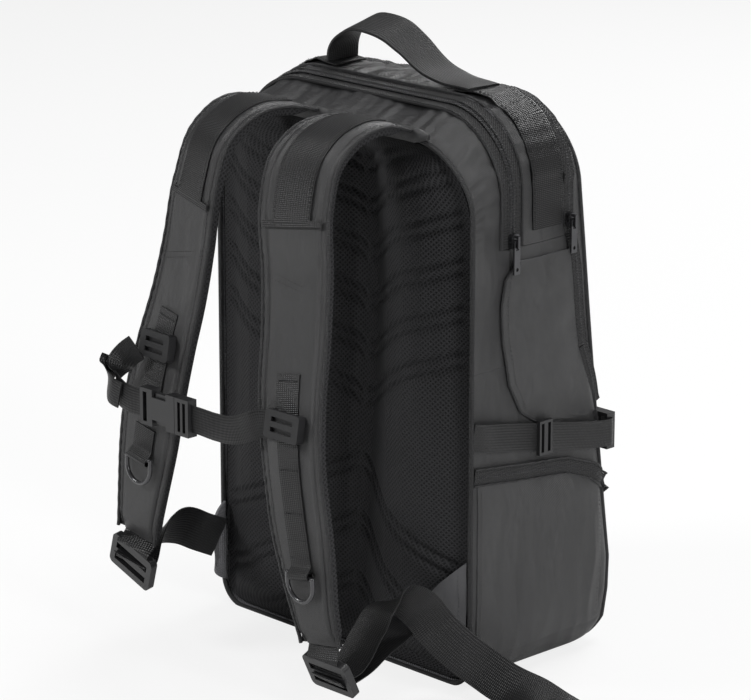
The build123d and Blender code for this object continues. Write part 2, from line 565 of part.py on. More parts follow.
def ring():
    """D-ring hanging from its bar at the origin: x along the bar, -y downwards."""
    r = (RING_INNER_WIDTH + RING_WIRE) / 2
    wire = RING_WIRE / 2
    drop = RING_DROP - r - RING_WIRE
    bar = Rotation(0, 90, 0) * Cylinder(wire, 2 * r)
    arc = Pos(0, -drop, 0) * Torus(r, wire)
    arc &= block(-3 * r, 3 * r, -4 * r, -drop, -r, r)
    legs = Part()
    for sign in (1, -1):
        legs += Pos(sign * r, 0, 0) * Sphere(wire)
        legs += Pos(sign * r, -drop / 2, 0) * (Rotation(90, 0, 0) * Cylinder(wire, drop))
    return bar + arc + legs


def ring_loop():
    """Webbing folded round the ring's bar and sewn to the strap above it."""
    hole = RING_WIRE / 2 + SLIDE_FIT
    tube_r = hole + WEBBING_THICKNESS
    tube = Rotation(0, 90, 0) * (Cylinder(tube_r, NARROW_WEBBING) - Cylinder(hole, NARROW_WEBBING + 2))
    tab = block(-NARROW_WEBBING / 2, NARROW_WEBBING / 2, 0, 30, -tube_r, -tube_r + WEBBING_THICKNESS)
    return tube + tab


def ladder_lock():
    """Frame with two slots and a middle bar, centred, its face towards -Y."""
    frame = Box(LOCK_WIDTH, LOCK_THICKNESS, LOCK_LENGTH)
    frame = fillet(frame.edges().filter_by(Axis.Y), 5)
    slot_half = WIDE_WEBBING / 2 + 1
    for slot_z in (-7.0, 6.0):
        frame -= block(-slot_half, slot_half, -LOCK_THICKNESS, LOCK_THICKNESS, slot_z - 3.2, slot_z + 3.2)
    return frame


def lock_webbing(stations, lock_plane):
    """Webbing out of the middle of the pad's end to just above the ladder lock."""
    (before, _, _), (end, across, out) = stations[-2:]
    start = end - out * (STRAP_THICKNESS / 2) + (end - before).normalized() * FIT
    finish = lock_plane.from_local_coords((0, 0, LOCK_LENGTH / 2 + 1.2))
    finish_at = (finish, lock_plane.x_dir, lock_plane.y_dir * -1)
    return ribbon([(start, across, out), finish_at], [WIDE_WEBBING] * 2, WEBBING_THICKNESS,
                  WEBBING_THICKNESS / 2)


def adjuster():
    """Slider over the strap's narrow webbing, its channel open towards the strap at z = 0."""
    t = ADJUSTER_THICKNESS
    body = Pos(0, 0, t / 2) * Box(ADJUSTER_WIDTH, ADJUSTER_HEIGHT, t)
    body = fillet(body.edges().filter_by(Axis.Z), 3)
    channel_half = NARROW_WEBBING / 2 + 4
    body -= block(-channel_half, channel_half, -ADJUSTER_HEIGHT, ADJUSTER_HEIGHT, -1, CHANNEL_DEPTH)
    for slot_y in (-4.5, 4.5):
        body -= block(-NARROW_WEBBING / 2, NARROW_WEBBING / 2, slot_y - 2, slot_y + 2,
                      CHANNEL_DEPTH + 2, t + 1)
    return body


web_lift = WEBBING_THICKNESS + FIT
ADJUSTER_LIFT = 0.9      # legs of the adjuster above the strap
CHANNEL_DEPTH = web_lift + SLIDE_FIT + 0.4 - ADJUSTER_LIFT + 0.8
loop_r = RING_WIRE / 2 + SLIDE_FIT + WEBBING_THICKNESS
SIDES = {    # route, mirror sign, heights of ring and adjuster, stations of the narrow webbing
    "right": (RIGHT_STRAP, 1, 133.0, 258.0, (7, 11)),
    "left": (LEFT_STRAP, -1, 184.0, 288.0, (7, 10)),
}
LOCKS = {"right": (RIGHT_LOCK_AT, RIGHT_LOCK_TURN), "left": (LEFT_LOCK_AT, LEFT_LOCK_TURN)}
for side, (route, mirror_sign, ring_z, adjuster_z, daisy_span) in SIDES.items():
    stations = frames(route, [t * mirror_sign for t in STRAP_TWIST])
    save(ribbon(stations, strap_widths(len(stations)), STRAP_THICKNESS), f"{side}_strap_pad")
    upper = ribbon(stations[1:6], [WIDE_WEBBING] * 5, WEBBING_THICKNESS, web_lift)
    daisy_stations = stations[daisy_span[0]:daisy_span[1]]
    daisy = ribbon(daisy_stations, [NARROW_WEBBING] * len(daisy_stations), WEBBING_THICKNESS, web_lift)
    lock_at, lock_turn = LOCKS[side]
    lock_place = Pos(*lock_at) * Rotation(*lock_turn, 0)
    low_webbing = lock_webbing(stations, Plane(lock_place))
    save(upper + daisy + low_webbing, f"{side}_strap_webbing")
    ring_place = place_at(stations, ring_z, FIT + loop_r)
    save(ring_place * ring_loop(), f"{side}_ring_loop")
    save(ring_place * ring(), f"{side}_d_ring")
    save(lock_place * ladder_lock(), f"{side}_ladder_lock")
    adjuster_place = place_at(stations, adjuster_z, ADJUSTER_LIFT)
    save(adjuster_place * adjuster(), f"{side}_adjuster")
    print(side, "ring bar", ring_place.origin)
    print(side, "adjuster", adjuster_place.origin, "out", adjuster_place.z_dir)

# ---- lower webbing ----------------------------------------------------------
right_lower = band(RIGHT_ANCHOR_WEBBING, (1, 0, 0), WIDE_WEBBING, WEBBING_THICKNESS)
right_lower += band(RIGHT_TAIL, RIGHT_TAIL_ACROSS, WIDE_WEBBING, WEBBING_THICKNESS)
save(right_lower, "right_lower_webbing")
save(band(LEFT_ANCHOR_WEBBING, (1, 0, 0), WIDE_WEBBING, WEBBING_THICKNESS), "left_lower_webbing")

# ---- sternum strap ----------------------------------------------------------
MOUTH_X = -27.0          # where the two halves of the buckle meet
buckle_at = Pos(MOUTH_X, STERNUM_Y, STERNUM_Z)
save(buckle_at * buckle_socket(), "sternum_socket")
save(buckle_at * buckle_plug(), "sternum_plug")
plug_end_x = MOUTH_X + PLUG_BASE_LENGTH + FIT
socket_end_x = MOUTH_X - SOCKET_LENGTH - FIT
right_route = [(x, STERNUM_Y, STERNUM_Z) for x in (plug_end_x, plug_end_x + 6)] + RIGHT_STERNUM_WEBBING
left_route = [(x, STERNUM_Y, STERNUM_Z) for x in (socket_end_x, socket_end_x - 6)] + LEFT_STERNUM_WEBBING
save(band(right_route, (0, 0, 1), NARROW_WEBBING, WEBBING_THICKNESS), "sternum_webbing_right")
save(band(left_route, (0, 0, 1), NARROW_WEBBING, WEBBING_THICKNESS), "sternum_webbing_left")


# ---- zip sliders and their pulls --------------------------------------------
def slider_and_pull(at, out, along, node):
    """Slider on a zip at `at`; `out` points away from the fabric, `along` up the zip."""
    x_dir = vec(along).cross(vec(out))
    place = Plane(origin=at, x_dir=tuple(x_dir), z_dir=out)
    body = fillet(Box(SLIDER_WIDTH, SLIDER_LENGTH, SLIDER_THICKNESS).edges().filter_by(Axis.Z), 2.5)
    body = Pos(0, 0, SLIDER_THICKNESS / 2) * body
    for end in (-BRIDGE_HALF, BRIDGE_HALF):
        body += Pos(0, end, SLIDER_THICKNESS + BRIDGE_RISE / 2) * Box(BRIDGE_WIDTH, 2.0, BRIDGE_RISE + 0.4)
    body += Pos(0, 0, SLIDER_THICKNESS + BRIDGE_RISE + 0.6) * Box(BRIDGE_WIDTH, 2 * BRIDGE_HALF + 2, 1.6)
    save(place * body, f"{node}_slider")
    pin_z = SLIDER_THICKNESS + BRIDGE_RISE / 2 - 0.1
    eye_length = BRIDGE_HALF + 2.8
    eye_width = BRIDGE_WIDTH + 2 * SLIDE_FIT
    tab = Pos(0, PULL_BAR / 2 - PULL_LENGTH / 2, 0) * Box(PULL_WIDTH, PULL_LENGTH, PULL_THICKNESS)
    tab = fillet(tab.edges().filter_by(Axis.Z), PULL_BAR / 2)
    tab -= Pos(0, PULL_BAR / 2 - PULL_LENGTH + 4.5, 0) * Cylinder(1.6, 3 * PULL_THICKNESS)
    tab -= Pos(0, -PULL_BAR / 2 - eye_length / 2, 0) * Box(eye_width, eye_length, 3 * PULL_THICKNESS)
    save(place * (Pos(0, 0.6, pin_z) * tab), f"{node}_pull")
    print(node, "pull axis", tuple(x_dir * -1), "through", place.from_local_coords((0, 0.6, pin_z)))


slider_lift = WEBBING_THICKNESS + SLIDE_FIT
main_lift = COIL_HEIGHT - 1 + SLIDE_FIT
for sign, side in ((1, "right"), (-1, "left")):
    slider_and_pull((sign * (HALF + main_lift), ZIP_Y, ZIP_END_Z + 7), (sign, 0, 0), (0, 0, 1),
                    f"main_zip_{side}")
slider_and_pull((HALF + slider_lift, FRONT_ZIP_Y, ZIP_END_Z + 14), (1, 0, 0), (0, 0, 1), "front_zip_right")
save(access_zip, "access_zip_tape")
slider_and_pull((-HALF - slider_lift, ACCESS_ZIP_Y, ACCESS_ZIP_LOW_Z + 7), (-1, 0, 0), (0, 0, 1),
                "access_zip")
front_gap = slider_lift + 0.8
slider_and_pull((80, front_y(LOW_ZIP_FRONT_Z) + front_gap, LOW_ZIP_FRONT_Z), (0, 1, 0), (1, 0, 0),
                "lower_zip")
pocket_zip_mid = FRONT_POCKET_TOP_Z + SLIM_ZIP_WIDTH / 2
slider_and_pull((72, front_y(pocket_zip_mid) + front_gap, pocket_zip_mid), (0, 1, 0), (1, 0, 0),
                "front_pocket_zip")
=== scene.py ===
# %% [markdown]
# # A racket backpack
# The bag is built round a imported solid model, the frame. Each visible piece is a surface worked out with
# numpy, in millimetres, and most of them ride on one of the frame's bodies.
# The sewn panels, padding and webbing are new pieces. The moulded buckles and the
# zip hardware are the frame's own solids with better finishes.

# %% Load the frame
import json
import bpy
import numpy as np
from mathutils import Matrix

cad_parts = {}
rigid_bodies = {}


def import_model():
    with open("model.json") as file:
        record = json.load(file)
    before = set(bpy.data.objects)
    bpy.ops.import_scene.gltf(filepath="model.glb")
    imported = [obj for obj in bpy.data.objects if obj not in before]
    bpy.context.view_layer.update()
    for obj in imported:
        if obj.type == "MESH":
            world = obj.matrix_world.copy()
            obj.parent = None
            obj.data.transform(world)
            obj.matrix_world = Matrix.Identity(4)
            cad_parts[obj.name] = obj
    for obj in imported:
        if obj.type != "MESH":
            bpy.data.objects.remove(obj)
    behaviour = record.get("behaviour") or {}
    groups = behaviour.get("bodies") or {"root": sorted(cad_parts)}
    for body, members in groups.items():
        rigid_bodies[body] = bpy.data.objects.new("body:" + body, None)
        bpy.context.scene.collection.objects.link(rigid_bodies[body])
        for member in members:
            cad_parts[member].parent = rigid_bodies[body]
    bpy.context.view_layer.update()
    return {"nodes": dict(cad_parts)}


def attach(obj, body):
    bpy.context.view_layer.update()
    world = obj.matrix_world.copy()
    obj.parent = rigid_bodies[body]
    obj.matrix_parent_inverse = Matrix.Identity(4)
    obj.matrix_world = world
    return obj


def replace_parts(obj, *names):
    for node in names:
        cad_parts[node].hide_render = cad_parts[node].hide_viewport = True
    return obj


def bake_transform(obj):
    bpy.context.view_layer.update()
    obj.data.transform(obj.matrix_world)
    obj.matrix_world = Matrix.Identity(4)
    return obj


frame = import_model()
MM = 0.001
TAU = 6.2832
SIDES = ((1, "right"), (-1, "left"))

# %% [markdown]
# ## Camera, light and floor
# A long lens from the wearer's side, a little above and to the right. The big soft
# lamps make the long highlights that show satin nylon, and the white surround comes from
# what camera rays see, so that it adds no light to a black bag.

# %% Camera
AZIMUTH, ELEVATION = np.radians(46.0), np.radians(16.0)
TARGET = np.array([44.312, -87.501, 284.160])
DISTANCE = 3130.0
back_axis = np.array([np.sin(AZIMUTH) * np.cos(ELEVATION), -np.cos(AZIMUTH) * np.cos(ELEVATION),
                      np.sin(ELEVATION)])
right_axis = np.array([np.cos(AZIMUTH), np.sin(AZIMUTH), 0.0])
up_axis = np.cross(back_axis, right_axis)
camera_data = bpy.data.cameras.new("view")
camera_data.lens = 172.57
camera_data.sensor_width = 36.0
camera_data.clip_end = 50.0
camera = bpy.data.objects.new("view", camera_data)
bpy.context.collection.objects.link(camera)
turn = np.eye(4)
turn[:3, 0], turn[:3, 1], turn[:3, 2] = right_axis, up_axis, back_axis
turn[:3, 3] = (TARGET + back_axis * DISTANCE) * MM
camera.matrix_world = Matrix(turn.tolist())
bpy.context.scene.camera = camera
print("camera:", DISTANCE, "mm away, lens", round(camera_data.lens), "mm")

# %% Lamps
scene = bpy.context.scene
scene.view_settings.view_transform = "Standard"


def lamp(name, place, aim, size, watts):
    """Rectangular soft lamp at `place`, turned towards `aim`, both in metres."""
    data = bpy.data.lights.new(name, "AREA")
    data.shape, data.size, data.size_y, data.energy = "RECTANGLE", size[0], size[1], watts
    obj = bpy.data.objects.new(name, data)
    bpy.context.collection.objects.link(obj)
    away = np.array(place) - np.array(aim)
    away /= np.linalg.norm(away)
    side = np.cross([0, 0, 1], away)
    side /= np.linalg.norm(side)
    m = np.eye(4)
    m[:3, 0], m[:3, 1], m[:3, 2], m[:3, 3] = side, np.cross(away, side), away, place
    obj.matrix_world = Matrix(m.tolist())
    return obj


lamp("key", (-1.6, -2.4, 2.3), (0, 0, 0.3), (0.9, 0.9), 56)
lamp("side", (3.0, -0.6, 1.6), (0, 0, 0.3), (0.7, 1.7), 50)
lamp("top", (0.3, 0.6, 2.8), (0, 0, 0.3), (1.6, 1.0), 40)
lamp("rear", (-0.8, 2.9, 1.8), (0, 0, 0.3), (1.4, 1.2), 40)
print("lamps:", len(bpy.data.lights))


# %% [markdown]
# ## Writing shader maths
# One small class wraps a node's output so that a pattern is written as an ordinary
# expression. Every operator adds its Math node.

# %% Shader helper
def connect(tree, slot, value):
    """Link a Value to a node's input, or set the input to a plain number or colour."""
    if isinstance(value, Value):
        tree.links.new(value.socket, slot)
    else:
        slot.default_value = value


class Value:
    def __init__(self, tree, socket):
        self.tree, self.socket = tree, socket

    def math(self, operation, *others):
        node = self.tree.nodes.new("ShaderNodeMath")
        node.operation = operation
        for slot, item in zip(node.inputs, (self, *others)):
            connect(self.tree, slot, item)
        return Value(self.tree, node.outputs[0])

    def __add__(self, o): return self.math("ADD", o)
    def __radd__(self, o): return self.math("ADD", o)
    def __sub__(self, o): return self.math("SUBTRACT", o)
    def __rsub__(self, o): return (self * -1.0) + o
    def __mul__(self, o): return self.math("MULTIPLY", o)
    def __rmul__(self, o): return self.math("MULTIPLY", o)
    def sin(self): return self.math("SINE")
    def abs(self): return self.math("ABSOLUTE")
    def power(self, o): return self.math("POWER", o)
    def clamp(self): return self.math("MAXIMUM", 0.0).math("MINIMUM", 1.0)


UV, OBJECT = 2, 3    # outputs of the texture coordinate node


class Shader:
    """A material's node tree and one method that adds any node."""

    def __init__(self, name):
        self.material = bpy.data.materials.new(name)
        self.material.use_nodes = True
        self.tree = self.material.node_tree
        self.bsdf = self.tree.nodes["Principled BSDF"]

    def add(self, kind, settings=None, output=0, **inputs):
        node = self.tree.nodes.new(kind)
        for key, value in (settings or {}).items():
            setattr(node, key, value)
        for key, value in inputs.items():
            connect(self.tree, node.inputs[key.replace("_", " ")], value)
        return Value(self.tree, node.outputs[output])

    def place(self, scale=(1, 1, 1), output=OBJECT):
        """The piece's own coordinates or its UV, stretched."""
        source = self.add("ShaderNodeTexCoord", output=output)
        return self.add("ShaderNodeMapping", Vector=source, Scale=scale)

    def noise(self, where, scale, detail=2.0, roughness=0.5):
        return self.add("ShaderNodeTexNoise", Vector=where, Scale=scale, Detail=detail, Roughness=roughness)

    def split(self, where):
        node = self.tree.nodes.new("ShaderNodeSeparateXYZ")
        self.tree.links.new(where.socket, node.inputs[0])
        return [Value(self.tree, out) for out in node.outputs]

    def blend(self, factor, low, high):
        node = self.tree.nodes.new("ShaderNodeMix")
        node.data_type = "RGBA"
        for slot, value in ((0, factor.clamp()), (6, (*low, 1.0)), (7, (*high, 1.0))):
            connect(self.tree, node.inputs[slot], value)
        return Value(self.tree, node.outputs[2])

    def bump(self, height, depth, strength=1.0):
        """Normal from a height; `depth` is in metres per unit of height."""
        node = self.tree.nodes.new("ShaderNodeBump")
        node.inputs["Strength"].default_value = strength
        node.inputs["Distance"].default_value = depth
        self.tree.links.new(height.socket, node.inputs["Height"])
        return Value(self.tree, node.outputs[0])

    def set(self, **inputs):
        for key, value in inputs.items():
            connect(self.tree, self.bsdf.inputs[key.replace("_", " ")], value)
        return self.material


def grey(value, blue=1.06):
    return (value, value, value * blue)


# %% [markdown]
# ## Finishes
# Every part of this bag is black, so the finishes differ in how they scatter light: coated
# nylon has a satin sheen, spacer mesh swallows light in its holes, webbing has fine ribs
# and moulded plastic is smooth.

# %% Coated nylon
THREADS_PER_M = 5200.0    # sine of the fine weave, in radians per metre


def coated_nylon(name, dark=0.011, light=0.021, rough=(0.32, 0.45)):
    """Noise patches between two greys and two roughnesses, fine weave and soft creases in the bump."""
    s = Shader(name)
    where = s.place()
    cloud = s.noise(where, 9.0, 3.0)
    fine = s.noise(where, 60.0, 2.0)
    x, y, z = s.split(s.place())
    weave = ((x + y) * THREADS_PER_M).sin() * ((z - y * 0.35) * THREADS_PER_M).sin()
    height = weave * 0.12 + s.noise(s.place((1, 1, 0.5)), 26.0, 3.0, 0.55) * 4.2 + fine * 0.35
    return s.set(Base_Color=s.blend(cloud * 1.6 - 0.3, grey(dark), grey(light)),
                 Roughness=cloud * (rough[1] - rough[0]) + (rough[0] - 0.02) + fine * 0.05,
                 Normal=s.bump(height, 0.0011), Specular_IOR_Level=0.6, Coat_Weight=0.12, Coat_Roughness=0.4)


NYLON = coated_nylon("coated_nylon")
# The wings are the same coated nylon painted about four times lighter: a painted sheen for their shiny curl.
SHEEN_PAINTED_NYLON = coated_nylon("wing_nylon_painted_sheen", 0.060, 0.085, (0.5, 0.62))


# %% Spacer mesh
def spacer_mesh(name):
    """Two crossed sets of raised threads with staggered holes between them; the holes are painted dark as
    shade.
    """
    s = Shader(name)
    u, v, _ = s.split(s.place(output=UV))
    pitch = TAU / 0.0088
    hole_a = (u * pitch).sin() * (v * (pitch * 0.9)).sin()
    hole_b = (u * pitch + 1.5708).sin() * (v * (pitch * 0.9) + 1.5708).sin()
    threads = ((hole_a.abs() + hole_b.abs()) * 0.9).power(2.0)
    cloud = s.noise(s.place(), 14.0, 3.0)
    # The base colour follows the thread height, so the holes get painted shade.
    return s.set(Base_Color=s.blend(threads * 0.8 + cloud * 0.3, grey(0.0015), grey(0.038)),
                 Roughness=cloud * 0.2 + 0.62, Normal=s.bump(threads, 0.0009),
                 Specular_IOR_Level=0.18)


MESH = spacer_mesh("spacer_mesh")


# %% Webbing
def webbing(name, dark=0.006, light=0.013):
    """Fine ribs along the strip, crossed by a herringbone of threads, with worn lighter patches. The grooves
    between the ribs get a little painted shade.
    """
    s = Shader(name)
    u, v, _ = s.split(s.place(output=UV))
    cloud = s.noise(s.place(), 22.0, 3.0)
    ribs = (u * (TAU / 0.0016)).sin()
    threads = (v * (TAU / 0.0024)).sin() * 0.4
    height = ribs * 0.5 + threads + s.noise(s.place(), 500.0, 1.0) * 0.2
    # The base colour follows the ribs, so their grooves are painted a little darker as shade; the cloud gives
    # the worn lighter patches.
    return s.set(Base_Color=s.blend(ribs * 0.22 + cloud * 0.9, grey(dark), grey(light)),
                 Roughness=cloud * 0.16 + 0.30 + ribs * 0.03, Normal=s.bump(height, 0.00022),
                 Specular_IOR_Level=0.38)


WEBBING = webbing("webbing")


# %% Zip tape, coil, piping, thread and lining
def plain_cloth(name, dark, light, rough, scale=420.0):
    """Woven cloth: two crossed sine waves in the bump and a soft variation of grey."""
    s = Shader(name)
    x, y, z = s.split(s.place())
    cloud = s.noise(s.place(), 30.0, 3.0)
    threads = ((x + y) * scale * TAU).sin() + (z * scale * TAU).sin()
    return s.set(Base_Color=s.blend(cloud * 1.5 - 0.25, grey(dark), grey(light)),
                 Roughness=cloud * 0.14 + rough, Normal=s.bump(threads, 0.0002))


TAPE = plain_cloth("zip_tape", 0.009, 0.015, 0.62)
COIL = plain_cloth("zip_coil", 0.030, 0.045, 0.26, 900.0)
PIPING = plain_cloth("piping", 0.016, 0.028, 0.44, 700.0)
THREAD = plain_cloth("thread", 0.032, 0.050, 0.5, 1500.0)
LINING = plain_cloth("lining", 0.13, 0.19, 0.7)


# %% Moulded plastic and dark metal
def moulded(name, colour, rough, metallic=0.0, coat=0.0):
    """Satin surface with a faint orange-peel bump and rubbed, shinier patches."""
    s = Shader(name)
    cloud = s.noise(s.place(), 60.0, 3.0)
    grain = s.noise(s.place(), 1400.0, 2.0)
    return s.set(Base_Color=s.blend(cloud * 1.4 - 0.2, grey(colour * 0.8), grey(colour * 1.3)),
                 Roughness=cloud * 0.16 + (rough - 0.08), Metallic=metallic, Coat_Weight=coat,
                 Coat_Roughness=0.15, Normal=s.bump(grain, 0.00006))


ACETAL = moulded("moulded_acetal", 0.016, 0.34)
ZIP_METAL = moulded("gunmetal", 0.07, 0.24, 0.85, 0.4)
RING_METAL = moulded("black_enamel", 0.05, 0.24, 0.5, 0.5)
STIFFENER = moulded("stiffener", 0.05, 0.5)
print("finishes:", [m.name for m in (NYLON, MESH, WEBBING, TAPE, COIL, PIPING, THREAD, LINING, ACETAL)])

# %% Floor and surround
backdrop = Shader("floor_white")
is_camera = backdrop.add("ShaderNodeLightPath")
glow = backdrop.tree.nodes.new("ShaderNodeEmission")
glow.inputs[0].default_value = (1, 1, 1, 1)
matt = backdrop.tree.nodes.new("ShaderNodeBsdfDiffuse")
matt.inputs[0].default_value = (0.82, 0.82, 0.82, 1)
mixed = backdrop.tree.nodes.new("ShaderNodeMixShader")
backdrop.tree.links.new((is_camera * 0.80).socket, mixed.inputs[0])
backdrop.tree.links.new(matt.outputs[0], mixed.inputs[1])
backdrop.tree.links.new(glow.outputs[0], mixed.inputs[2])
backdrop.tree.links.new(mixed.outputs[0], backdrop.tree.nodes["Material Output"].inputs[0])
FLOOR_HALF = 12.0
floor_mesh = bpy.data.meshes.new("floor")
floor_mesh.from_pydata([(x * FLOOR_HALF, y * FLOOR_HALF, 0) for x, y in ((-1, -1), (1, -1), (1, 1), (-1, 1))],
                       [], [(0, 1, 2, 3)])
floor_mesh.materials.append(backdrop.material)
floor = bpy.data.objects.new("floor", floor_mesh)
bpy.context.collection.objects.link(floor)
world = bpy.data.worlds.new("surround")
scene.world = world
world.use_nodes = True
nodes, links = world.node_tree.nodes, world.node_tree.links
sky = nodes["Background"]
path = nodes.new("ShaderNodeLightPath")
strength = nodes.new("ShaderNodeMapRange")
strength.inputs["To Min"].default_value = 0.20
strength.inputs["To Max"].default_value = 1.0
links.new(path.outputs["Is Camera Ray"], strength.inputs["Value"])
links.new(strength.outputs[0], sky.inputs["Strength"])
sky.inputs["Color"].default_value = (1, 1, 1, 1)
print("floor:", 2 * FLOOR_HALF, "m wide")


# %% [markdown]
# ## Three ways to make a piece
# Almost all of a bag is strips and panels. A closed loop carried along a path gives any
# of them: a panel is a wide flat loop, webbing a narrow one and piping a round one.

# %% Loft, strip and tube
CREASE_ANGLE = 55    # edges turning by more degrees than this are drawn sharp


def add_mesh(name, vertices, faces, uvs, materials, body, face_material=None):
    """Mesh from arrays, in millimetres, turned outwards when its volume comes out negative."""
    tri = vertices[faces]
    volume = np.einsum("ij,ij->i", tri[:, 0], np.cross(tri[:, 1], tri[:, 2])).sum()
    if faces.shape[1] == 4:
        volume += np.einsum("ij,ij->i", tri[:, 0], np.cross(tri[:, 2], tri[:, 3])).sum()
    if volume < 0:
        faces = faces[:, ::-1]
        uvs = uvs[:, ::-1]
    mesh = bpy.data.meshes.new(name)
    mesh.from_pydata((vertices * MM).tolist(), [], faces.tolist())
    layer = mesh.uv_layers.new(name="UVMap")
    layer.data.foreach_set("uv", (uvs.reshape(-1, 2) * MM).ravel())
    for material in materials:
        mesh.materials.append(material)
    if face_material is not None:
        mesh.polygons.foreach_set("material_index", face_material.astype(np.int32))
    mesh.polygons.foreach_set("use_smooth", np.ones(len(faces), bool))
    mesh.update()
    mesh.set_sharp_from_angle(angle=np.radians(CREASE_ANGLE))
    obj = bpy.data.objects.new(name, mesh)
    bpy.context.collection.objects.link(obj)
    if body:
        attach(obj, body)
    return obj


def spacing(points):
    """Running distance along the first axis."""
    return np.r_[0, np.cumsum(np.linalg.norm(np.diff(points, axis=0), axis=1))]


def resample(s, run, table):
    """Rows of a table of vectors, read at new distances."""
    return np.stack([np.interp(s, run, table[:, k]) for k in range(3)], 1)


def loft(name, loops, materials, body, face_rows=None, ring=False):
    """Closed skin over loops (count, even number of points, 3), with flat strips across both ends."""
    count, m, _ = loops.shape
    i, j = np.meshgrid(np.arange(count if ring else count - 1), np.arange(m), indexing="ij")
    i, j = i.ravel(), j.ravel()
    corner = [(i, j), (i + 1, j), (i + 1, j + 1), (i, j + 1)]
    faces = np.stack([(a % count) * m + b % m for a, b in corner], 1)
    middle = loops.mean(axis=1)
    if ring:
        middle = np.vstack([middle, middle[:1]])
    run = spacing(middle)
    row = loops[count // 2]
    girth = spacing(np.vstack([row, row[:1]]))
    uvs = np.stack([np.stack([run[a], girth[b]], 1) for a, b in corner], 1)
    choice = np.zeros(len(faces), int) if face_rows is None else (j >= face_rows).astype(int)
    if not ring:
        k = np.arange(m // 2 - 1)
        cap = np.stack([k, k + 1, m - 2 - k, m - 1 - k], 1)
        ends = np.vstack([cap, cap[:, ::-1] + (count - 1) * m])
        faces = np.vstack([faces, ends])
        uvs = np.vstack([uvs, np.stack([girth[ends % m], girth[ends % m]], -1)])
        choice = np.r_[choice, np.full(len(ends), len(materials) - 1)]
    return add_mesh(name, loops.reshape(-1, 3), faces, uvs, materials, body, choice)


def unit(v):
    return v / np.maximum(np.linalg.norm(v, axis=-1, keepdims=True), 1e-9)


def panel(name, grid, thickness, materials, body, centre=(0, 0, 250)):
    """Lined wall behind a grid (count, across, 3) whose outer side faces away from `centre`."""
    normal = unit(np.cross(np.gradient(grid, axis=0), np.gradient(grid, axis=1)))
    if (normal * (grid - np.array(centre))).sum() < 0:
        normal = -normal
    inner = grid - normal * thickness
    return loft(name, np.concatenate([grid, inner[:, ::-1]], axis=1), materials + [LINING], body,
                grid.shape[1])


def along(points, count):
    """Smooth curve through the points: cubic pieces whose slopes follow the neighbours."""
    p = np.asarray(points, float)
    d = spacing(p)
    slope = np.gradient(p, d, axis=0)
    s = np.linspace(0, d[-1], count)
    i = np.clip(np.searchsorted(d, s, "right") - 1, 0, len(d) - 2)
    h = (d[i + 1] - d[i])[:, None]
    t = (s - d[i])[:, None] / h
    return ((2 * t**3 - 3 * t**2 + 1) * p[i] + (t**3 - 2 * t**2 + t) * h * slope[i]
            + (3 * t**2 - 2 * t**3) * p[i + 1] + (t**3 - t**2) * h * slope[i + 1])


def stations(points, across, count):
    """Centre, direction across and outward direction along a smooth path."""
    centre = along(points, count)
    tangent = unit(np.gradient(centre, axis=0))
    across = np.asarray(across, float)
    if across.ndim == 1:
        across = np.tile(across, (len(points), 1))
    d = spacing(np.asarray(points, float))
    s = np.linspace(0, d[-1], count)
    side = resample(s, d, across)
    side = unit(side - tangent * (side * tangent).sum(1, keepdims=True))
    return centre, side, np.cross(tangent, side)


def strip(name, centre, side, out, width, top, bottom, materials, body, columns=9, face_rows=None):
    """Flat strip: `top` and `bottom` give heights over the path from (x from -1 to 1, distance)."""
    x = np.linspace(-1, 1, columns)
    run = spacing(centre)
    width = np.broadcast_to(width, run.shape)
    X, S = np.meshgrid(x, run)
    flat = centre[:, None] + side[:, None] * (X * width[:, None] / 2)[..., None]
    upper = flat + out[:, None] * (top(X, S) + 0 * X)[..., None]
    lower = flat + out[:, None] * (bottom(X, S) + 0 * X)[..., None]
    return loft(name, np.concatenate([upper, lower[:, ::-1]], axis=1), materials, body, face_rows)


WEB_T = 1.6
UP = (0, 0, 1)


def web(name, points, across, width, body, count=120, lift=0.0, waves=0.15, thickness=WEB_T, seed=0.0,
        replaces=None):
    """Webbing: rounded selvedges and a slight lengthwise ripple."""
    centre, side, out = stations(points, across, count)

    def top(x, s):
        edge = 0.35 * np.abs(x) ** 8
        ripple = waves * np.sin(s / 13.0 + seed + 1.3 * x) + waves * 0.6 * np.sin(s / 5.7 + 2 * seed)
        return lift + thickness / 2 - edge + ripple

    def bottom(x, s):
        return top(x, s) - thickness + 0.7 * np.abs(x) ** 8

    piece = strip(name, centre, side, out, width, top, bottom, [WEBBING], body, 11)
    if replaces:
        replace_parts(piece, replaces)
    return piece


def tube(name, path, side, out, radius, material, body, ring=False, sides=8):
    """Round cord: a circle carried along the path in the plane of `side` and `out`."""
    angle = np.arange(sides) * 2 * np.pi / sides
    radius = np.broadcast_to(radius, len(path))[:, None, None]
    circle = side[:, None] * np.cos(angle)[None, :, None] + out[:, None] * np.sin(angle)[None, :, None]
    return loft(name, path[:, None] + circle * radius, [material], body, ring=ring)


FINE = (2.6, 1.2, 0.3, 0.3)    # stitch length, gap, half width and height
COARSE = (2.8, 1.3, 0.32, 0.35)
POCKET = (2.6, 1.3, 0.32, 0.32)
BOX = (2.6, 1.0, 0.35, 0.35)
SLANTED = (2.6, 1.0, 0.32, 0.35)
HEAVY = (2.6, 1.0, 0.4, 0.4)
BAR_TACK = (2.2, 0.3, 0.9, 0.4)


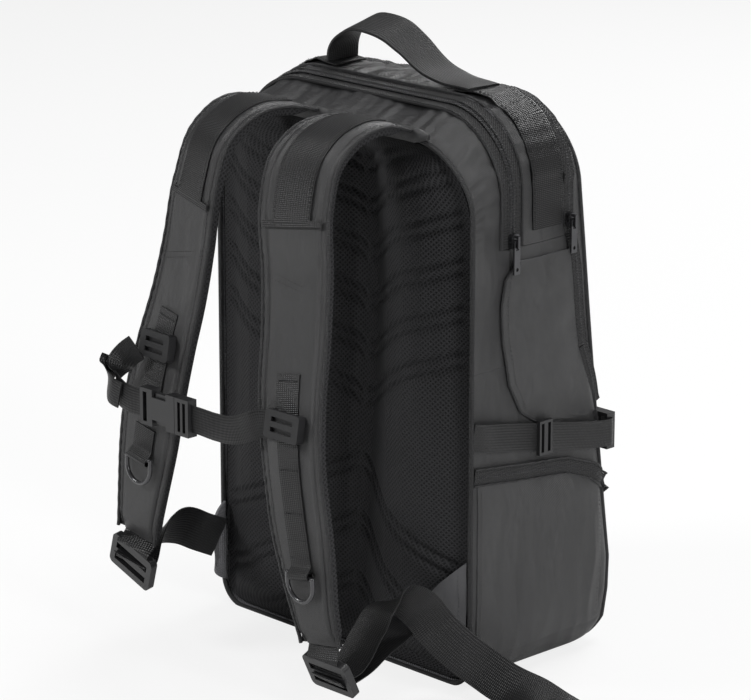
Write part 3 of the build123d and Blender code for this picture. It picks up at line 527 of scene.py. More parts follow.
def stitches(name, path, out, body, length, gap, width, height):
    """Sewing thread: one small lozenge per stitch, spaced evenly along a line on a surface."""
    run = spacing(path)
    count = max(int(run[-1] // (length + gap)), 1)
    s = (np.arange(count) + 0.5) * run[-1] / count
    centre, up = resample(s, run, path), unit(resample(s, run, np.broadcast_to(out, path.shape)))
    ahead = unit(resample(s + 1, run, path) - resample(s - 1, run, path))
    side = np.cross(up, ahead)
    v = np.stack([centre - ahead * length / 2, centre + ahead * length / 2, centre - side * width,
                  centre + side * width, centre - up * height, centre + up * height], 1).reshape(-1, 3)
    tri = np.array([(0, 2, 5), (2, 1, 5), (1, 3, 5), (3, 0, 5), (2, 0, 4), (1, 2, 4), (3, 1, 4), (0, 3, 4)])
    faces = (tri[None] + 6 * np.arange(count)[:, None, None]).reshape(-1, 3)
    return add_mesh(name, v, faces, np.zeros((len(faces), 3, 2)), [THREAD], body)


def spread(a0, a1, rows, b0, b1, columns):
    """Two grids of values: the first changes from row to row, the second along each row."""
    return np.meshgrid(np.linspace(a0, a1, rows), np.linspace(b0, b1, columns), indexing="ij")


def soft_noise(u, v, seed, scale, waves=14):
    """Sum of plane waves in random directions, about -1 to 1; the seed fixes it."""
    rng = np.random.default_rng(seed)
    total = 0.0
    for _ in range(waves):
        direction, phase, length = rng.uniform(0, np.pi), rng.uniform(0, 6.28), scale * rng.uniform(0.6, 1.7)
        total = total + np.sin((u * np.cos(direction) + v * np.sin(direction)) * 2 * np.pi / length + phase)
    return total / np.sqrt(waves) / 1.2


def step(x, low, high):
    """0 below low, 1 above high and a smooth ramp between."""
    t = np.clip((x - low) / (high - low), 0, 1)
    return t * t * (3 - 2 * t)


# %% [markdown]
# ## The form of the bag
# Seen from the back, the bag is a rectangle with wide rounded top corners. The gusset
# follows that outline, its top is crowned from back to front, and the front leans out
# towards the base. Everything sewn to the bag is placed with these few functions.

# %% Outline and gusset
HALF, TALL, TOP_R, BASE_R = 160.0, 510.0, 72.0, 26.0
BACK_Y = -85.0
FOLD_LOW, ZIP_END = 285.0, 388.0


def arc(cx, cz, r, start, stop, count=60):
    a = np.linspace(start, stop, count)
    return np.stack([cx + r * np.cos(a), cz + r * np.sin(a)], 1)


right_half = np.vstack([[(0, TALL)], arc(HALF - TOP_R, TALL - TOP_R, TOP_R, np.pi / 2, 0),
                        arc(HALF - BASE_R, BASE_R, BASE_R, 0, -np.pi / 2), [(0, 0)]])
outline_run = spacing(right_half)
HALF_RUN = outline_run[-1]
print("outline:", round(2 * HALF_RUN), "mm round")


def outline(p):
    """Point (x, z) at distance p from the top centre, clockwise seen from the strap side."""
    p = np.mod(p, 2 * HALF_RUN)
    q = np.where(p <= HALF_RUN, p, 2 * HALF_RUN - p)
    sign = np.where(p <= HALF_RUN, 1.0, -1.0)
    return np.stack([sign * np.interp(q, outline_run, right_half[:, 0]),
                     np.interp(q, outline_run, right_half[:, 1])], -1)


def outward(p, reach=2.0):
    """Direction away from the bag in the plane of the outline."""
    d = outline(p + reach) - outline(p - reach)
    return unit(np.stack([-d[..., 1], d[..., 0]], -1))


def run_at(z):
    """Distance from the top centre down to a height on the straight part of the side."""
    return outline_run[60] + (TALL - TOP_R - z)


def front_y(z):
    """Depth of the front edge: bulging low down, upright and slimmer at the top."""
    z = np.asarray(z, float)
    low = np.interp(z, [0, 8, 24, 50, 80], [64, 75, 87, 92, 93])
    high = 93 - 51 * (z - 80) / 422 - 2.52 * (1 - ((z - 291) / 211) ** 2)
    return np.where(z < 80, low, high)


def crown(y, z):
    """How much lower the top is towards the back and front."""
    return 0.0043 * (y + 1.3) ** 2 * step(z, 372, 505)


def gusset(p, y, lift=0.0):
    """Point on the gusset at outline distance p and depth y, raised outwards by `lift`."""
    xz, n = outline(p), outward(p)
    x = xz[..., 0] + n[..., 0] * lift
    z = xz[..., 1] + n[..., 1] * lift - crown(y, xz[..., 1])
    return np.stack([x, y + 0 * x, z], -1)


def puff(p, y):
    """Fullness of the soft wall: a bulge low down at the pockets and a soft one between the seams."""
    z = outline(p)[..., 1]
    depth = front_y(z) - BACK_Y
    t = np.clip((y - BACK_Y) / depth, 0, 1)
    low = 6.5 * step(z, 6, 60) * (1 - step(z, 150, 196)) * np.sin(np.pi * t) ** 0.7
    high = 2.2 * step(z, 230, 300) * (1 - step(z, 380, 470)) * np.sin(np.pi * t)
    return low + high


def creases(p, y, seed=3):
    """Soft folds: long upright ones low on the sides, short gathers near the seams at the top."""
    p = np.mod(p + HALF_RUN, 2 * HALF_RUN) - HALF_RUN
    z = outline(p)[..., 1]
    broad = soft_noise(p, y * 1.4, seed, 95) * 1.1
    upright = (1 - np.abs(soft_noise(p * 0.25, y, seed + 1, 24))) * 1.2 * (1 - step(z, 60, 170))
    gathers = np.sin(p / 2.3 + 2.2 * np.sin(p / 17.0)) * 0.55
    gathers = gathers * np.exp(-(y - BACK_Y) / 7.0) * step(z, 300, 420)
    radiating = soft_noise(p, y * 0.4, seed + 2, 20) * 0.8 * step(z, 395, 480)
    return (broad + upright + gathers + radiating) * step(z, 1, 25)


SLIDERS = [(1, 30, 402), (1, -40, 395), (-1, -40, 395)] + [(-1, -68, z) for z in range(240, 390, 14)]


def wall_lift(p, y):
    """How far the wall stands out: full between the seams, rolled in at the front.
    It is calm where the zip sliders run (side, depth and height of each place)."""
    z = outline(p)[..., 1]
    edge = np.clip((y - front_y(z) + 16) / 16, 0, 1)
    side = np.sign(HALF_RUN - np.mod(p, 2 * HALF_RUN))
    calm = 0.0
    for at_side, at_y, at_z in SLIDERS:
        calm = np.maximum(calm, (side == at_side) * np.exp(-((y - at_y) ** 2 + (z - at_z) ** 2) / 24.0**2))
    return (puff(p, y) + creases(p, y) * (1 - edge)) * (1 - calm) - 5.0 * edge**2.4


def side_point(sign, y, z, lift=0.0):
    """Point on the straight part of a side wall at a depth and height."""
    p = sign * run_at(z)
    return gusset(p, y, wall_lift(p, y) + lift)


# %% [markdown]
# ## Walls
# The gusset is cut along the main zip. Behind it a band stays with the back; in front of it the top opens as
# a lid. The stretch between the lid and the lower bag is its own piece, fixed in place on neither body.

# %% Gusset and front walls
WALL = 2.6
ZIP_Y, TAPE_W = -40.0, 15.0
Q_FOLD, Q_END = run_at(FOLD_LOW), run_at(ZIP_END)


def finish(piece, body, replaces=None):
    """Bake a piece that rides on neither body, such as one across the fold, into world space, and hide the
    frame's parts that it replaces.
    """
    if body is None:
        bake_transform(piece)
    if replaces:
        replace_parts(piece, replaces)


def sideways(sign, count):
    """The direction out of a side wall, once for each point of a line."""
    return np.tile([float(sign), 0.0, 0.0], (count, 1))


def depth_at(y, z):
    """A depth given as a number, an array or a function of height."""
    return (y(z) if callable(y) else y) + 0 * z


def gusset_grid(p0, p1, count, y_start, y_stop, columns):
    """Stretch of the gusset between two outline distances and two depths."""
    p, t = spread(p0, p1, count, 0, 1, columns)
    z = outline(p)[..., 1]
    y0, y1 = depth_at(y_start, z), depth_at(y_stop, z)
    y = y0 + (y1 - y0) * t
    return gusset(p, y, wall_lift(p, y))


def wall(name, grid, body, replaces=None, centre=(0, 0, 250), thickness=WALL):
    """Panel of the coated nylon."""
    finish(panel(name, grid, thickness, [NYLON], body, centre), body, replaces)


def cord(name, path, side, out, radius, body, ring=False):
    """Piping covered with the coated nylon."""
    finish(tube(name, path, side, out, radius, PIPING, body, ring), body)


REAR_EDGE = BACK_Y + 0.5
wall("gusset_lower", gusset_grid(Q_FOLD, 2 * HALF_RUN - Q_FOLD, 300, REAR_EDGE, front_y, 60), "bag",
     "tub_shell")


def band_front(z):
    """Front edge of the rear band: at the zip tape above the zip's end, at the zip line below it."""
    return np.where(z > ZIP_END, ZIP_Y - TAPE_W + 4.0, ZIP_Y - 0.4)


wall("rear_band", gusset_grid(-Q_FOLD + 0.3, Q_FOLD - 0.3, 460, REAR_EDGE, band_front, 22), "bag",
     "back_band")
wall("lid_gusset", gusset_grid(-Q_END + 0.4, Q_END - 0.4, 380, ZIP_Y + TAPE_W - 4.0, front_y, 40), "lid")
for sign, side_name in SIDES:
    grid = gusset_grid(sign * (Q_END + 0.2), sign * Q_FOLD, 60, ZIP_Y + 0.4, front_y, 60)
    wall(f"fold_side_{side_name}", grid, None, "fold_band")


def rounded_half(z, half, low, low_r, high, high_r):
    """Half the width, at a height, of an upright rectangle with rounded corners."""
    def corner(r, inside):
        return half - r + np.sqrt(np.clip(r**2 - np.clip(inside, 0, r) ** 2, 0, None))

    return np.minimum(corner(low_r, low + low_r - z), corner(high_r, z - high + high_r))


def half_width(z):
    """Half the width of the outline at a height."""
    return rounded_half(z, HALF, 0.0, BASE_R, TALL, TOP_R)


def front_depth(x, z):
    """Depth of the front wall: a little full in the middle, rounding off at the seam."""
    e = np.clip(np.abs(x) / half_width(z), 0, 1)
    full = 0.8 * (1 - e**2) * step(z, 20, 80)
    return front_y(z) - 0.6 - 1.4 * e**8 + full + soft_noise(x, z, 11, 110) * 0.5 * (1 - e**2)


def front_grid(z0, z1, count, columns=90):
    """Front panel between two heights."""
    z, u = spread(z0, z1, count, -1, 1, columns)
    x = u * (half_width(z) - 4.8)
    return np.stack([x, front_depth(x, z), z - crown(front_y(z), z)], -1)


MIDDLE = (0, -40, 250)
wall("front_lower", front_grid(0.8, FOLD_LOW, 80), "bag", centre=MIDDLE)
wall("front_fold", front_grid(FOLD_LOW, ZIP_END - 0.3, 40), None, centre=MIDDLE)
wall("front_lid", front_grid(ZIP_END + 0.3, TALL - 0.6, 50), "lid", "lid_shell", MIDDLE)


# %% Piping along the seams
def rim(name, p0, p1, count, y, lift, radius, body, ring=False):
    """Piping along the gusset at a constant or varying depth."""
    p = np.linspace(p0, p1, count, endpoint=not ring)
    path = gusset(p, depth_at(y, outline(p)[:, 1]), lift)
    n = outward(p)
    side = np.stack([n[:, 0], 0 * n[:, 0], n[:, 1]], 1)
    cord(name, path, side, np.tile([0.0, 1.0, 0.0], (count, 1)), radius, body, ring)


rim("back_piping", 0, 2 * HALF_RUN, 420, BACK_Y - 0.5, -0.4, 2.4, "bag", ring=True)
FRONT_SEAM = -4.2
rim("front_piping_lower", Q_FOLD, 2 * HALF_RUN - Q_FOLD, 260, front_y, FRONT_SEAM, 2.2, "bag")
rim("front_piping_lid", -Q_END, Q_END, 300, front_y, FRONT_SEAM, 2.2, "lid")
rim("front_piping_fold_right", Q_END, Q_FOLD, 50, front_y, FRONT_SEAM, 2.2, None)
rim("front_piping_fold_left", -Q_END, -Q_FOLD, 50, front_y, FRONT_SEAM, 2.2, None)
print("fold:", round(Q_FOLD - Q_END), "mm of gusset on each side, pieces so far", len(bpy.data.objects))

# %% [markdown]
# ## Zips
# A zip is a flat tape and a coil whose turns show as a fine row of ridges. Each half of
# the main zip is sewn to its own side, so the two halves ride on different bodies.

# %% Zip tapes and coils
TURN = 2.6


def zip_tape(name, line, width, body, replaces=None, thickness=0.9, arch=0.3, below=0.5):
    """Tape along a line of centres, directions across and directions out; slightly arched."""
    piece = strip(name, *line, width, lambda x, s: thickness - arch * x**2, lambda x, s: 0 * x - below,
                  [TAPE], body, 7)
    return finish(piece, body, replaces)


def coil(name, centre, side, out, width, height, body, phase=0.0):
    """Coil: a rounded ridge whose height and width swell once per turn."""
    run = spacing(centre)
    fine = np.arange(0, run[-1], TURN / 4)    # four stations to a turn
    c, w, o = (resample(fine, run, t) for t in (centre, side, out))
    swell = 0.42 + 0.58 * np.abs(np.sin(np.pi * (fine + phase) / TURN))
    angle = np.linspace(0, np.pi, 5)
    x = np.r_[np.cos(angle), -0.9, 0.9, 0.9]
    h = np.r_[np.sin(angle), -0.3, -0.3, -0.1]
    loops = c[:, None] + w[:, None] * (x[None] * width / 2 * (0.8 + 0.2 * swell[:, None]))[..., None] \
        + o[:, None] * (h[None] * height * swell[:, None])[..., None]
    finish(loft(name, loops, [COIL], body), body)


def ring_frame(p, y, lift, on_wall=False):
    """Centre, across (towards the front) and outward directions along the gusset."""
    yy = depth_at(y, outline(p)[:, 1])
    centre = gusset(p, yy, lift + (wall_lift(p, yy) if on_wall else 0.0))
    n = outward(p)
    out = np.stack([n[:, 0], 0 * p, n[:, 1]], 1)
    tangent = unit(np.gradient(centre, axis=0))
    side = unit(np.cross(out, tangent))
    return centre, side, out


main_run = np.linspace(-Q_END + 1, Q_END - 1, 500)
for name, offset, body, node, phase in (("rear", -1, "bag", "main_zip_rear_tape", 0.0),
                                        ("front", 1, "lid", "main_zip_front_tape", TURN / 2)):
    line = ring_frame(main_run, ZIP_Y + offset * 7.0, 0.2)
    zip_tape(f"main_zip_{name}_tape", line, 13.4, body, node, thickness=1.0, arch=0.25, below=0.4)
    coil(f"main_zip_{name}_coil", *ring_frame(main_run, ZIP_Y + offset * 1.7, 0.9), 3.4, 1.8, body,
         phase=phase)
    rim(f"main_zip_{name}_edge", -Q_END + 1, Q_END - 1, 420, ZIP_Y + offset * 12.6, 1.2, 1.5, body)
    for k, shift in enumerate((5.4, 9.6)):
        c, _, o = ring_frame(main_run, ZIP_Y + offset * shift, 1.35)
        stitches(f"main_zip_{name}_stitch_{k}", c, o, body, *FINE)
print("main zip:", round(spacing(line[0])[-1]), "mm of tape")

# %% [markdown]
# ## Back panel
# Two long foam pads stand out on each side of an air channel. Double grooves are
# moulded into them in a chevron, rising outwards above the waist and falling below it.

# %% Back pad
PAD_HALF, PAD_LOW, PAD_HIGH = 155.7, 4.6, 475.4
PAD_LOW_R, PAD_HIGH_R = 22.0, 68.0


def pad_half(z):
    return rounded_half(z, PAD_HALF, PAD_LOW, PAD_LOW_R, PAD_HIGH, PAD_HIGH_R)


RISING = [(444, 0.42), (405, 0.50), (362, 0.54), (318, 0.56), (274, 0.58), (231, 0.60)]
FALLING = [(176, -0.56), (122, -0.60), (66, -0.60)]


def groove(d, half=2.7):
    return np.exp(-((d / half) ** 2))


def pad_y(x, z):
    """Depth of the pad: channel, crests and seam by distance from the middle, less the grooves."""
    a = np.abs(x)
    channel = np.interp(z, [0, 90, 180, 270, 365, 440, 480], [-72, -66, -60, -53, -50, -56, -70])
    shape = np.interp(a, [0, 14, 34, 60, 88, 110, 134, 158], [0.0, 0.06, 0.40, 0.80, 1.0, 0.98, 0.80, 0.62])
    y = channel + (-98.0 - channel) * shape
    rim_gap = np.minimum(pad_half(z) - a, np.minimum(PAD_HIGH - z, z - PAD_LOW))
    soft = step(rim_gap, 0, 30)
    y = BACK_Y + 1.5 + (y - BACK_Y - 1.5) * soft
    cut = 0.0
    for height, slope in RISING + FALLING:
        for gap in (0.0, -12.0):
            bend = a * slope * (1 - 0.0012 * a)
            cut = cut + groove((z - height - gap - bend) * np.cos(np.arctan(slope)))
    puffed = soft_noise(x, z, 21, 70) * 0.5 * soft
    return y + np.clip(cut, 0, 1) * 3.6 * step(rim_gap, 3, 16) * step(a, 1, 6) + puffed


zz, uu = spread(PAD_LOW, PAD_HIGH, 270, -1, 1, 160)
pad_x = uu * pad_half(zz)
pad_front = np.stack([pad_x, pad_y(pad_x, zz), zz], -1)
pad_rear = np.stack([pad_x, np.maximum(pad_front[..., 1], -84.0) + 9.0, zz], -1)
back_pad = loft("back_pad", np.concatenate([pad_front, pad_rear[:, ::-1]], axis=1), [MESH], "bag")
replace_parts(back_pad, "back_panel_pad")
print("back pad: crests at", round(float(pad_front[..., 1].min()), 1), "mm")

# %% Yoke and wings
def yoke_loops():
    """Sewn band along the top seam, thick in the middle and thin at its ends."""
    x = np.linspace(-108, 108, 90)
    end = 1 - step(np.abs(x), 96, 108) * 0.6
    loops = []
    for y, z in ((-86.0, 489.0), (-90.0, 489.6), (-92.3, 487.0), (-92.6, 482.0), (-91.5, 477.6),
                 (-86.0, 477.2)):
        ripple = 0.5 * np.sin(x / 3.1 + 1.5 * np.sin(x / 14)) * (1 if y < -87 else 0)
        loops.append(np.stack([x, BACK_Y + (y - BACK_Y) * end + ripple * 0.5, 483 + (z - 483) * end], 1))
    return np.stack(loops, axis=1)


yoke = loft("yoke", yoke_loops(), [NYLON], "bag")
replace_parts(yoke, "strap_yoke")


def wing(name, sign, low, tip, high, lean):
    """Triangle of doubled nylon sewn into the back seam; its three sides meet the webbing's end."""
    v, u = spread(0, 1, 26, 0, 1, 18)
    seam = np.stack([0 * v + sign * 157.0, 0 * v - 87.0, low + (high - low) * v], -1)
    top_z = tip[1] + (v - 0.5) * 30
    reach = np.stack([0 * v + tip[0], 0 * v + lean, top_z], -1)
    grid = seam + (reach - seam) * u[..., None]
    grid[..., 1] -= 9.5 * np.sin(np.pi * np.clip(u, 0, 1)) ** 0.8 + 0.8 * np.sin(v * 9 + u * 5)
    # The wing is drawn in the nylon with the painted sheen.
    piece = panel(name, grid, 2.2, [SHEEN_PAINTED_NYLON], "bag", centre=(0, 400, 60))
    for k, inset in enumerate((2, 15)):
        line = grid[2:-2, inset]
        stitches(f"{name}_stitch_{k}", line + np.array([0, -0.5, 0]), (0, -1, 0), "bag", *FINE)
    return piece


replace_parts(wing("right_wing", 1, 50, (122, 64), 116, -99.0), "strap_wings")
wing("left_wing", -1, 22, (-150, 62), 98, -100.0)

# %% [markdown]
# ## Shoulder straps
# Each strap is a curved foam pad faced with satin nylon and backed with mesh. Its edges
# are bound, and the binding puckers the face slightly. A wide webbing runs down the
# upper part and a narrow one carries the rings and the sternum strap.

# %% Strap pads
START = (-92.0, 490.4)
RIGHT_ROUTE = [(58, *START), (58, -112, 496), (60, -136, 498), (60, -163, 491), (61, -187, 473),
               (64, -202, 436), (73, -210, 380), (82, -221, 325), (90, -233, 280), (98, -240, 235),
               (106, -241, 185), (114, -240, 140), (121, -238, 100), (126, -234, 70)]
LEFT_ROUTE = [(-58, *START), (-58, -112, 496), (-60, -136, 498), (-60, -163, 491), (-61, -187, 473),
              (-64, -200, 436), (-72, -205, 380), (-79, -212, 330), (-86, -220, 288), (-94, -227, 240),
              (-102, -229, 195), (-110, -229, 155), (-116, -228, 128), (-120, -227, 106)]
TWIST = np.radians([0, 4, 9, 12, 13, 12, 9, 6, 3, 0, 0, 0, 0, 0])
STRAP_COUNT = 300


def strap_path(route, sign):
    across = np.stack([np.cos(TWIST), np.sin(TWIST) * sign, 0 * TWIST], 1)
    return stations(route, across, STRAP_COUNT)


def strap_width(run):
    total = run[-1]
    return 72.0 - 20.0 * step(run, total - 115, total) + 0.5 * np.sin(run / 21)


def pad_top(x, s, total):
    """Face of the strap: crowned, pinched at its bound edges, with small puckers beside them."""
    edge = np.abs(x)
    pucker = np.sin(s / 1.55 + 1.7 * np.sin(s / 11.0)) * 0.32 * np.exp(-((1 - edge) / 0.13) ** 2)
    dip = 1.5 * np.exp(-(((edge - 0.80) / 0.05) ** 2))
    ends = 3.2 * (1 - step(s, 0, 16)) + 5.0 * step(s, total - 16, total)
    return -2.8 * edge**6 - dip + pucker - ends * 0.8 + 0.35 * np.sin(s / 37 + 2 * x)


def pad_bottom(x, s, total):
    edge = np.abs(x)
    ends = 8.0 * (1 - step(s, 0, 26)) + 4.5 * step(s, total - 16, total)
    return -12.6 + 3.4 * edge**5 + ends + 0.25 * np.sin(s / 19 - x)


strap_frames = {}
for side_name, route, sign in (("right", RIGHT_ROUTE, 1), ("left", LEFT_ROUTE, -1)):
    centre, side, out = strap_path(route, sign)
    run = spacing(centre)
    total = run[-1]
    width = strap_width(run) - 1.5
    body = f"{side_name}_strap"
    strap_frames[side_name] = (centre, side, out, run, width)
    pad = strip(f"{side_name}_pad", centre, side, out, width, lambda x, s: pad_top(x, s, total),
                lambda x, s: pad_bottom(x, s, total), [NYLON, MESH], body, 41, face_rows=40)
    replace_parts(pad, f"{side_name}_strap_pad")
    for edge_sign, edge_name in ((1, "a"), (-1, "b")):
        wobble = 0.15 * np.sin(run / 2.1 + edge_sign)
        line = centre + side * (edge_sign * (width / 2 - 0.6))[:, None] + out * (-2.6 + wobble)[:, None]
        cord(f"{side_name}_binding_{edge_name}", line, side, out, 1.7, body)
        seam = centre + side * (edge_sign * width / 2 * 0.80)[:, None] + out * -1.7
        stitches(f"{side_name}_pad_stitch_{edge_name}", seam[8:-8], out[8:-8], body, *COARSE)
print("straps", {k: round(float(v[3][-1]), 1) for k, v in strap_frames.items()})


# %% Webbing on the straps
def on_strap(side_name, s0, s1, count, offset=0.0, lift=0.0):
    """Part of a strap's path between two distances, moved across and out."""
    centre, side, out, run, _ = strap_frames[side_name]
    s = np.linspace(s0, s1, count)
    c, w, o = (resample(s, run, t) for t in (centre, side, out))
    return c + w * offset + o * lift, unit(w), unit(o)


def flat_web(name, frame_points, width, body, thickness=WEB_T, waves=0.12):
    """Webbing sewn flat on a line of centres, directions across and directions out."""

    def top(x, s):
        return thickness - 0.35 * np.abs(x) ** 8 + waves * np.sin(s / 9.0 + x)

    def bottom(x, s):
        return top(x, s) - thickness + 0.5 * np.abs(x) ** 8

    piece = strip(name, *frame_points, width, top, bottom, [WEBBING], body, 11)
    return piece


def cross_stitch(name, frame_points, width, body, inset=3.0):
    """Box of stitches with a cross inside, at the ends of a sewn webbing."""
    centre, side, out = frame_points
    lift = out * (WEB_T + 0.25)
    half = side * (width / 2 - inset)
    a, b = centre[0] + lift[0], centre[-1] + lift[-1]
    corners = [a - half[0], a + half[0], b + half[-1], b - half[-1]]
    for k, (start, stop) in enumerate(((0, 1), (1, 2), (2, 3), (3, 0), (0, 2), (1, 3))):
        line = corners[start] + (corners[stop] - corners[start]) * np.linspace(0, 1, 12)[:, None]
        stitches(f"{name}_{k}", line, out[len(out) // 2], body, *BOX)


WIDE, SLANT = (16, 158), 208    # distances down the strap: wide webbing, slanted seam, narrow webbing
for side_name, narrow in (("right", (284, 446)), ("left", (262, 352))):
    body = f"{side_name}_strap"
    wide = flat_web(f"{side_name}_wide_webbing", on_strap(side_name, *WIDE, 90, lift=0.1), 38.0, body)
    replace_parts(wide, f"{side_name}_strap_webbing")
    for k, offset in enumerate((-17.0, 17.0)):
        c, w, o = on_strap(side_name, WIDE[0] + 3, WIDE[1] - 3, 80, offset, WEB_T + 0.35)
        stitches(f"{side_name}_wide_stitch_{k}", c, o, body, *COARSE)
    flat_web(f"{side_name}_cross_webbing", on_strap(side_name, WIDE[1] - 2, WIDE[1] + 4, 8, lift=0.2), 60.0,
             body, thickness=1.2)
    flat_web(f"{side_name}_narrow_webbing", on_strap(side_name, *narrow, 80), 25.0, body)
    for k, at in enumerate(np.linspace(narrow[0] + 6, narrow[1] - 6, 5)):
        c, w, o = on_strap(side_name, at, at + 1, 2, 0.0, WEB_T + 0.5)
        line = c[0] + w[0] * np.linspace(-11, 11, 8)[:, None]
        stitches(f"{side_name}_bar_tack_{k}", line, o[0], body, *BAR_TACK)
    for k, shift in enumerate((0.0, 5.0)):
        c, w, o = on_strap(side_name, SLANT + shift, SLANT + 1 + shift, 2, 0.0, 0.2)
        ahead = np.cross(o[0], w[0])
        x = np.linspace(-32, 32, 16)[:, None]
        slant = 0.34 * (1 if side_name == "right" else -1)
        line = c[0] + w[0] * x - ahead * x * slant + o[0] * (-0.2 - 2.2 * (x / 34) ** 6)
        stitches(f"{side_name}_slant_stitch_{k}", line, o[0], body, *SLANTED)

# %% Ring loops
RING_PLACE = {"right": ((115.225, -244.046, 132.806), 133.0), "left": ((-104.2, -233.4, 184.057), 184.0)}
for side_name, (bar, z) in RING_PLACE.items():
    centre, side, out, run, _ = strap_frames[side_name]
    k = int(np.argmin(np.abs(centre[:, 2] - z) + (centre[:, 1] > -190) * 999))
    w, o = side[k], out[k]
    up = np.cross(o, w)
    up = up if up[2] > 0 else -up
    bar = np.array(bar)
    profile = [bar + up * 30 - o * 3.2, bar + up * 16 - o * 3.0, bar + up * 7 - o * 2.2]
    turn_angle = np.linspace(0.6, 2 * np.pi - 0.9, 22)
    profile += [bar + up * np.cos(a) * 3.4 + o * np.sin(a) * 3.4 for a in turn_angle]
    web(f"{side_name}_ring_webbing", np.array(profile), w, 25.0, f"{side_name}_strap", 70, waves=0.03,
        thickness=1.3, replaces=f"{side_name}_ring_loop")

# %% [markdown]
# ## Webbing between strap and bag
# The wide webbing comes out of the pad, is threaded through the ladder lock and ends in
# the wing. On the right its free end runs on over a crest and down past the corner.
# The pieces that reach from the lock to the bag are fixed in place on neither body.

# %% Lower webbing
LOCKS = {"right": ((129, -222, 43), (25, 0)), "left": ((-123, -226, 82), (10, 24))}


def lock_axes(turns):
    a, b = np.radians(turns)
    rx = np.array([[1, 0, 0], [0, np.cos(a), -np.sin(a)], [0, np.sin(a), np.cos(a)]])
    ry = np.array([[np.cos(b), 0, np.sin(b)], [0, 1, 0], [-np.sin(b), 0, np.cos(b)]])
    m = rx @ ry
    return m[:, 0], m[:, 1], m[:, 2]


for side_name, (at, turns) in LOCKS.items():
    centre, side, out, run, _ = strap_frames[side_name]
    lx, ly, lz = lock_axes(turns)
    at = np.array(at, float)
    start = centre[-1] - out[-1] * 7.0
    before = centre[-14] - out[-14] * 7.0
    points = [before, start, (start + at + lz * 19) / 2 - ly * 0.4, at + lz * 16 - ly * 2.6,
              at + lz * 9.5, at + lz * 3.4 + ly * 4.4, at + lz * 8 + ly * 6.6]
    across = [side[-14], side[-1], side[-1] * 0.5 + lx * 0.5, lx, lx, lx, lx]
    web(f"{side_name}_lock_webbing", points, across, 37.0, f"{side_name}_strap", 60, waves=0.0)

RIGHT_ANCHOR = [(129, -227.5, 41), (129.3, -222, 36.5), (129.6, -214, 37), (130, -198, 40),
                (129, -174, 50), (125, -148, 58), (120, -122, 62), (118, -101.5, 62)]
LEFT_ANCHOR = [(-122, -231, 84.5), (-124, -226, 79.5), (-126, -218, 82), (-131, -204, 91),
               (-138, -180, 95), (-146, -150, 92), (-149, -122, 78), (-148, -101.5, 68)]
right_anchor = web("right_anchor_webbing", RIGHT_ANCHOR, (1, 0, 0), 37.5, None, 130, waves=0.5,
                   replaces="right_lower_webbing")
LEFT_ACROSS = [(1, 0, -0.1), (1, 0, -0.2), (0.95, 0, -0.35), (0.8, 0.1, 0.2), (0.5, 0.2, 0.8),
               (0.3, 0.25, 0.95), (0.2, 0.2, 1), (0.1, 0.2, 1)]
left_anchor = web("left_anchor_webbing", LEFT_ANCHOR, LEFT_ACROSS, 37.5, None, 130, waves=0.5, seed=2.0,
                  replaces="left_lower_webbing")
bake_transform(right_anchor)
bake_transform(left_anchor)
TAIL = [(129, -226.5, 48), (129, -219, 42.5), (130, -206, 44), (131, -194, 54), (132, -181, 71),
        (134, -167, 88), (138, -150, 95), (147, -134, 84), (158, -124, 66), (172, -112, 48),
        (190, -99, 32), (212, -90, 20), (236, -80, 13), (258, -70, 6.5), (276, -60, 2.4),
        (292, -48, 1.8)]
TAIL_ACROSS = [(1, 0, 0), (1, 0, 0), (1, 0, 0), (1, 0, 0), (1, 0, 0.1), (0.95, 0.1, 0.3),
               (0.75, 0.35, 0.55), (0.45, 0.5, 0.72), (0.25, 0.54, 0.8), (0.2, 0.54, 0.82),
               (0.2, 0.54, 0.82), (0.15, 0.6, 0.75), (0, 0.75, 0.55), (-0.2, 0.9, 0.25), (-0.4, 0.9, 0),
               (-0.5, 0.85, 0)]
tail = web("right_tail", TAIL, TAIL_ACROSS, 37.5, None, 240, waves=0.35, seed=1.0)
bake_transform(tail)
print("free end on the right:", round(spacing(np.array(TAIL, float))[-1]), "mm")

# %% Sternum webbing
PLUG_END, SOCKET_END = -27.0 + 18.3, -27.0 - 45.3
STERNUM_Y, STERNUM_Z = -253.0, 245.0
RIGHT_STERNUM = [(PLUG_END - 6, STERNUM_Y, STERNUM_Z), (PLUG_END + 8, STERNUM_Y, STERNUM_Z),
                 (20, -252, 244), (46, -251, 247), (60, -248, 253), (67, -244.5, 256),
                 (80, -241.5, 256.5)]
LEFT_STERNUM = [(SOCKET_END + 6, STERNUM_Y, STERNUM_Z), (SOCKET_END - 6, STERNUM_Y, STERNUM_Z),
                (-92, -254, 246), (-108, -252, 251), (-117, -246, 260), (-117, -241, 270),
                (-112, -237, 278), (-104, -233.5, 285)]
right_sternum = web("right_sternum_webbing", RIGHT_STERNUM, UP, 24.5, None, 140, waves=0.3,
                    replaces="sternum_webbing_right")
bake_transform(right_sternum)
web("left_sternum_webbing", LEFT_STERNUM, UP, 24.5, "left_slide", 150, waves=0.3, seed=3.0,
    replaces="sternum_webbing_left")
FREE_END = [(-100, -256.4, 247), (-112, -256.6, 250), (-121, -252, 257), (-124, -246, 266), (-122, -243, 274)]
web("left_sternum_free_end", FREE_END, UP, 24.5, "left_slide", 80, waves=0.4, seed=5.0)

# %% [markdown]
# ## Pockets and zips on the walls
# The side pocket is cut by the line on which the lid folds, and its upper part is a separate piece on neither
# bag nor lid. A long zip runs low round both sides and the front.

# %% Side pockets
POCKET_EDGE = np.array([(24, 221), (-4, 226), (-26, 240), (-42, 268), (-50, 306), (-52, 340), (-48, 362),
                        (-34, 376)])


def zip_y(z):
    """Depth of the front zip at a height."""
    return np.interp(z, [221, 228, 285, 375, 402], [76, 74, 52, 37, 30])


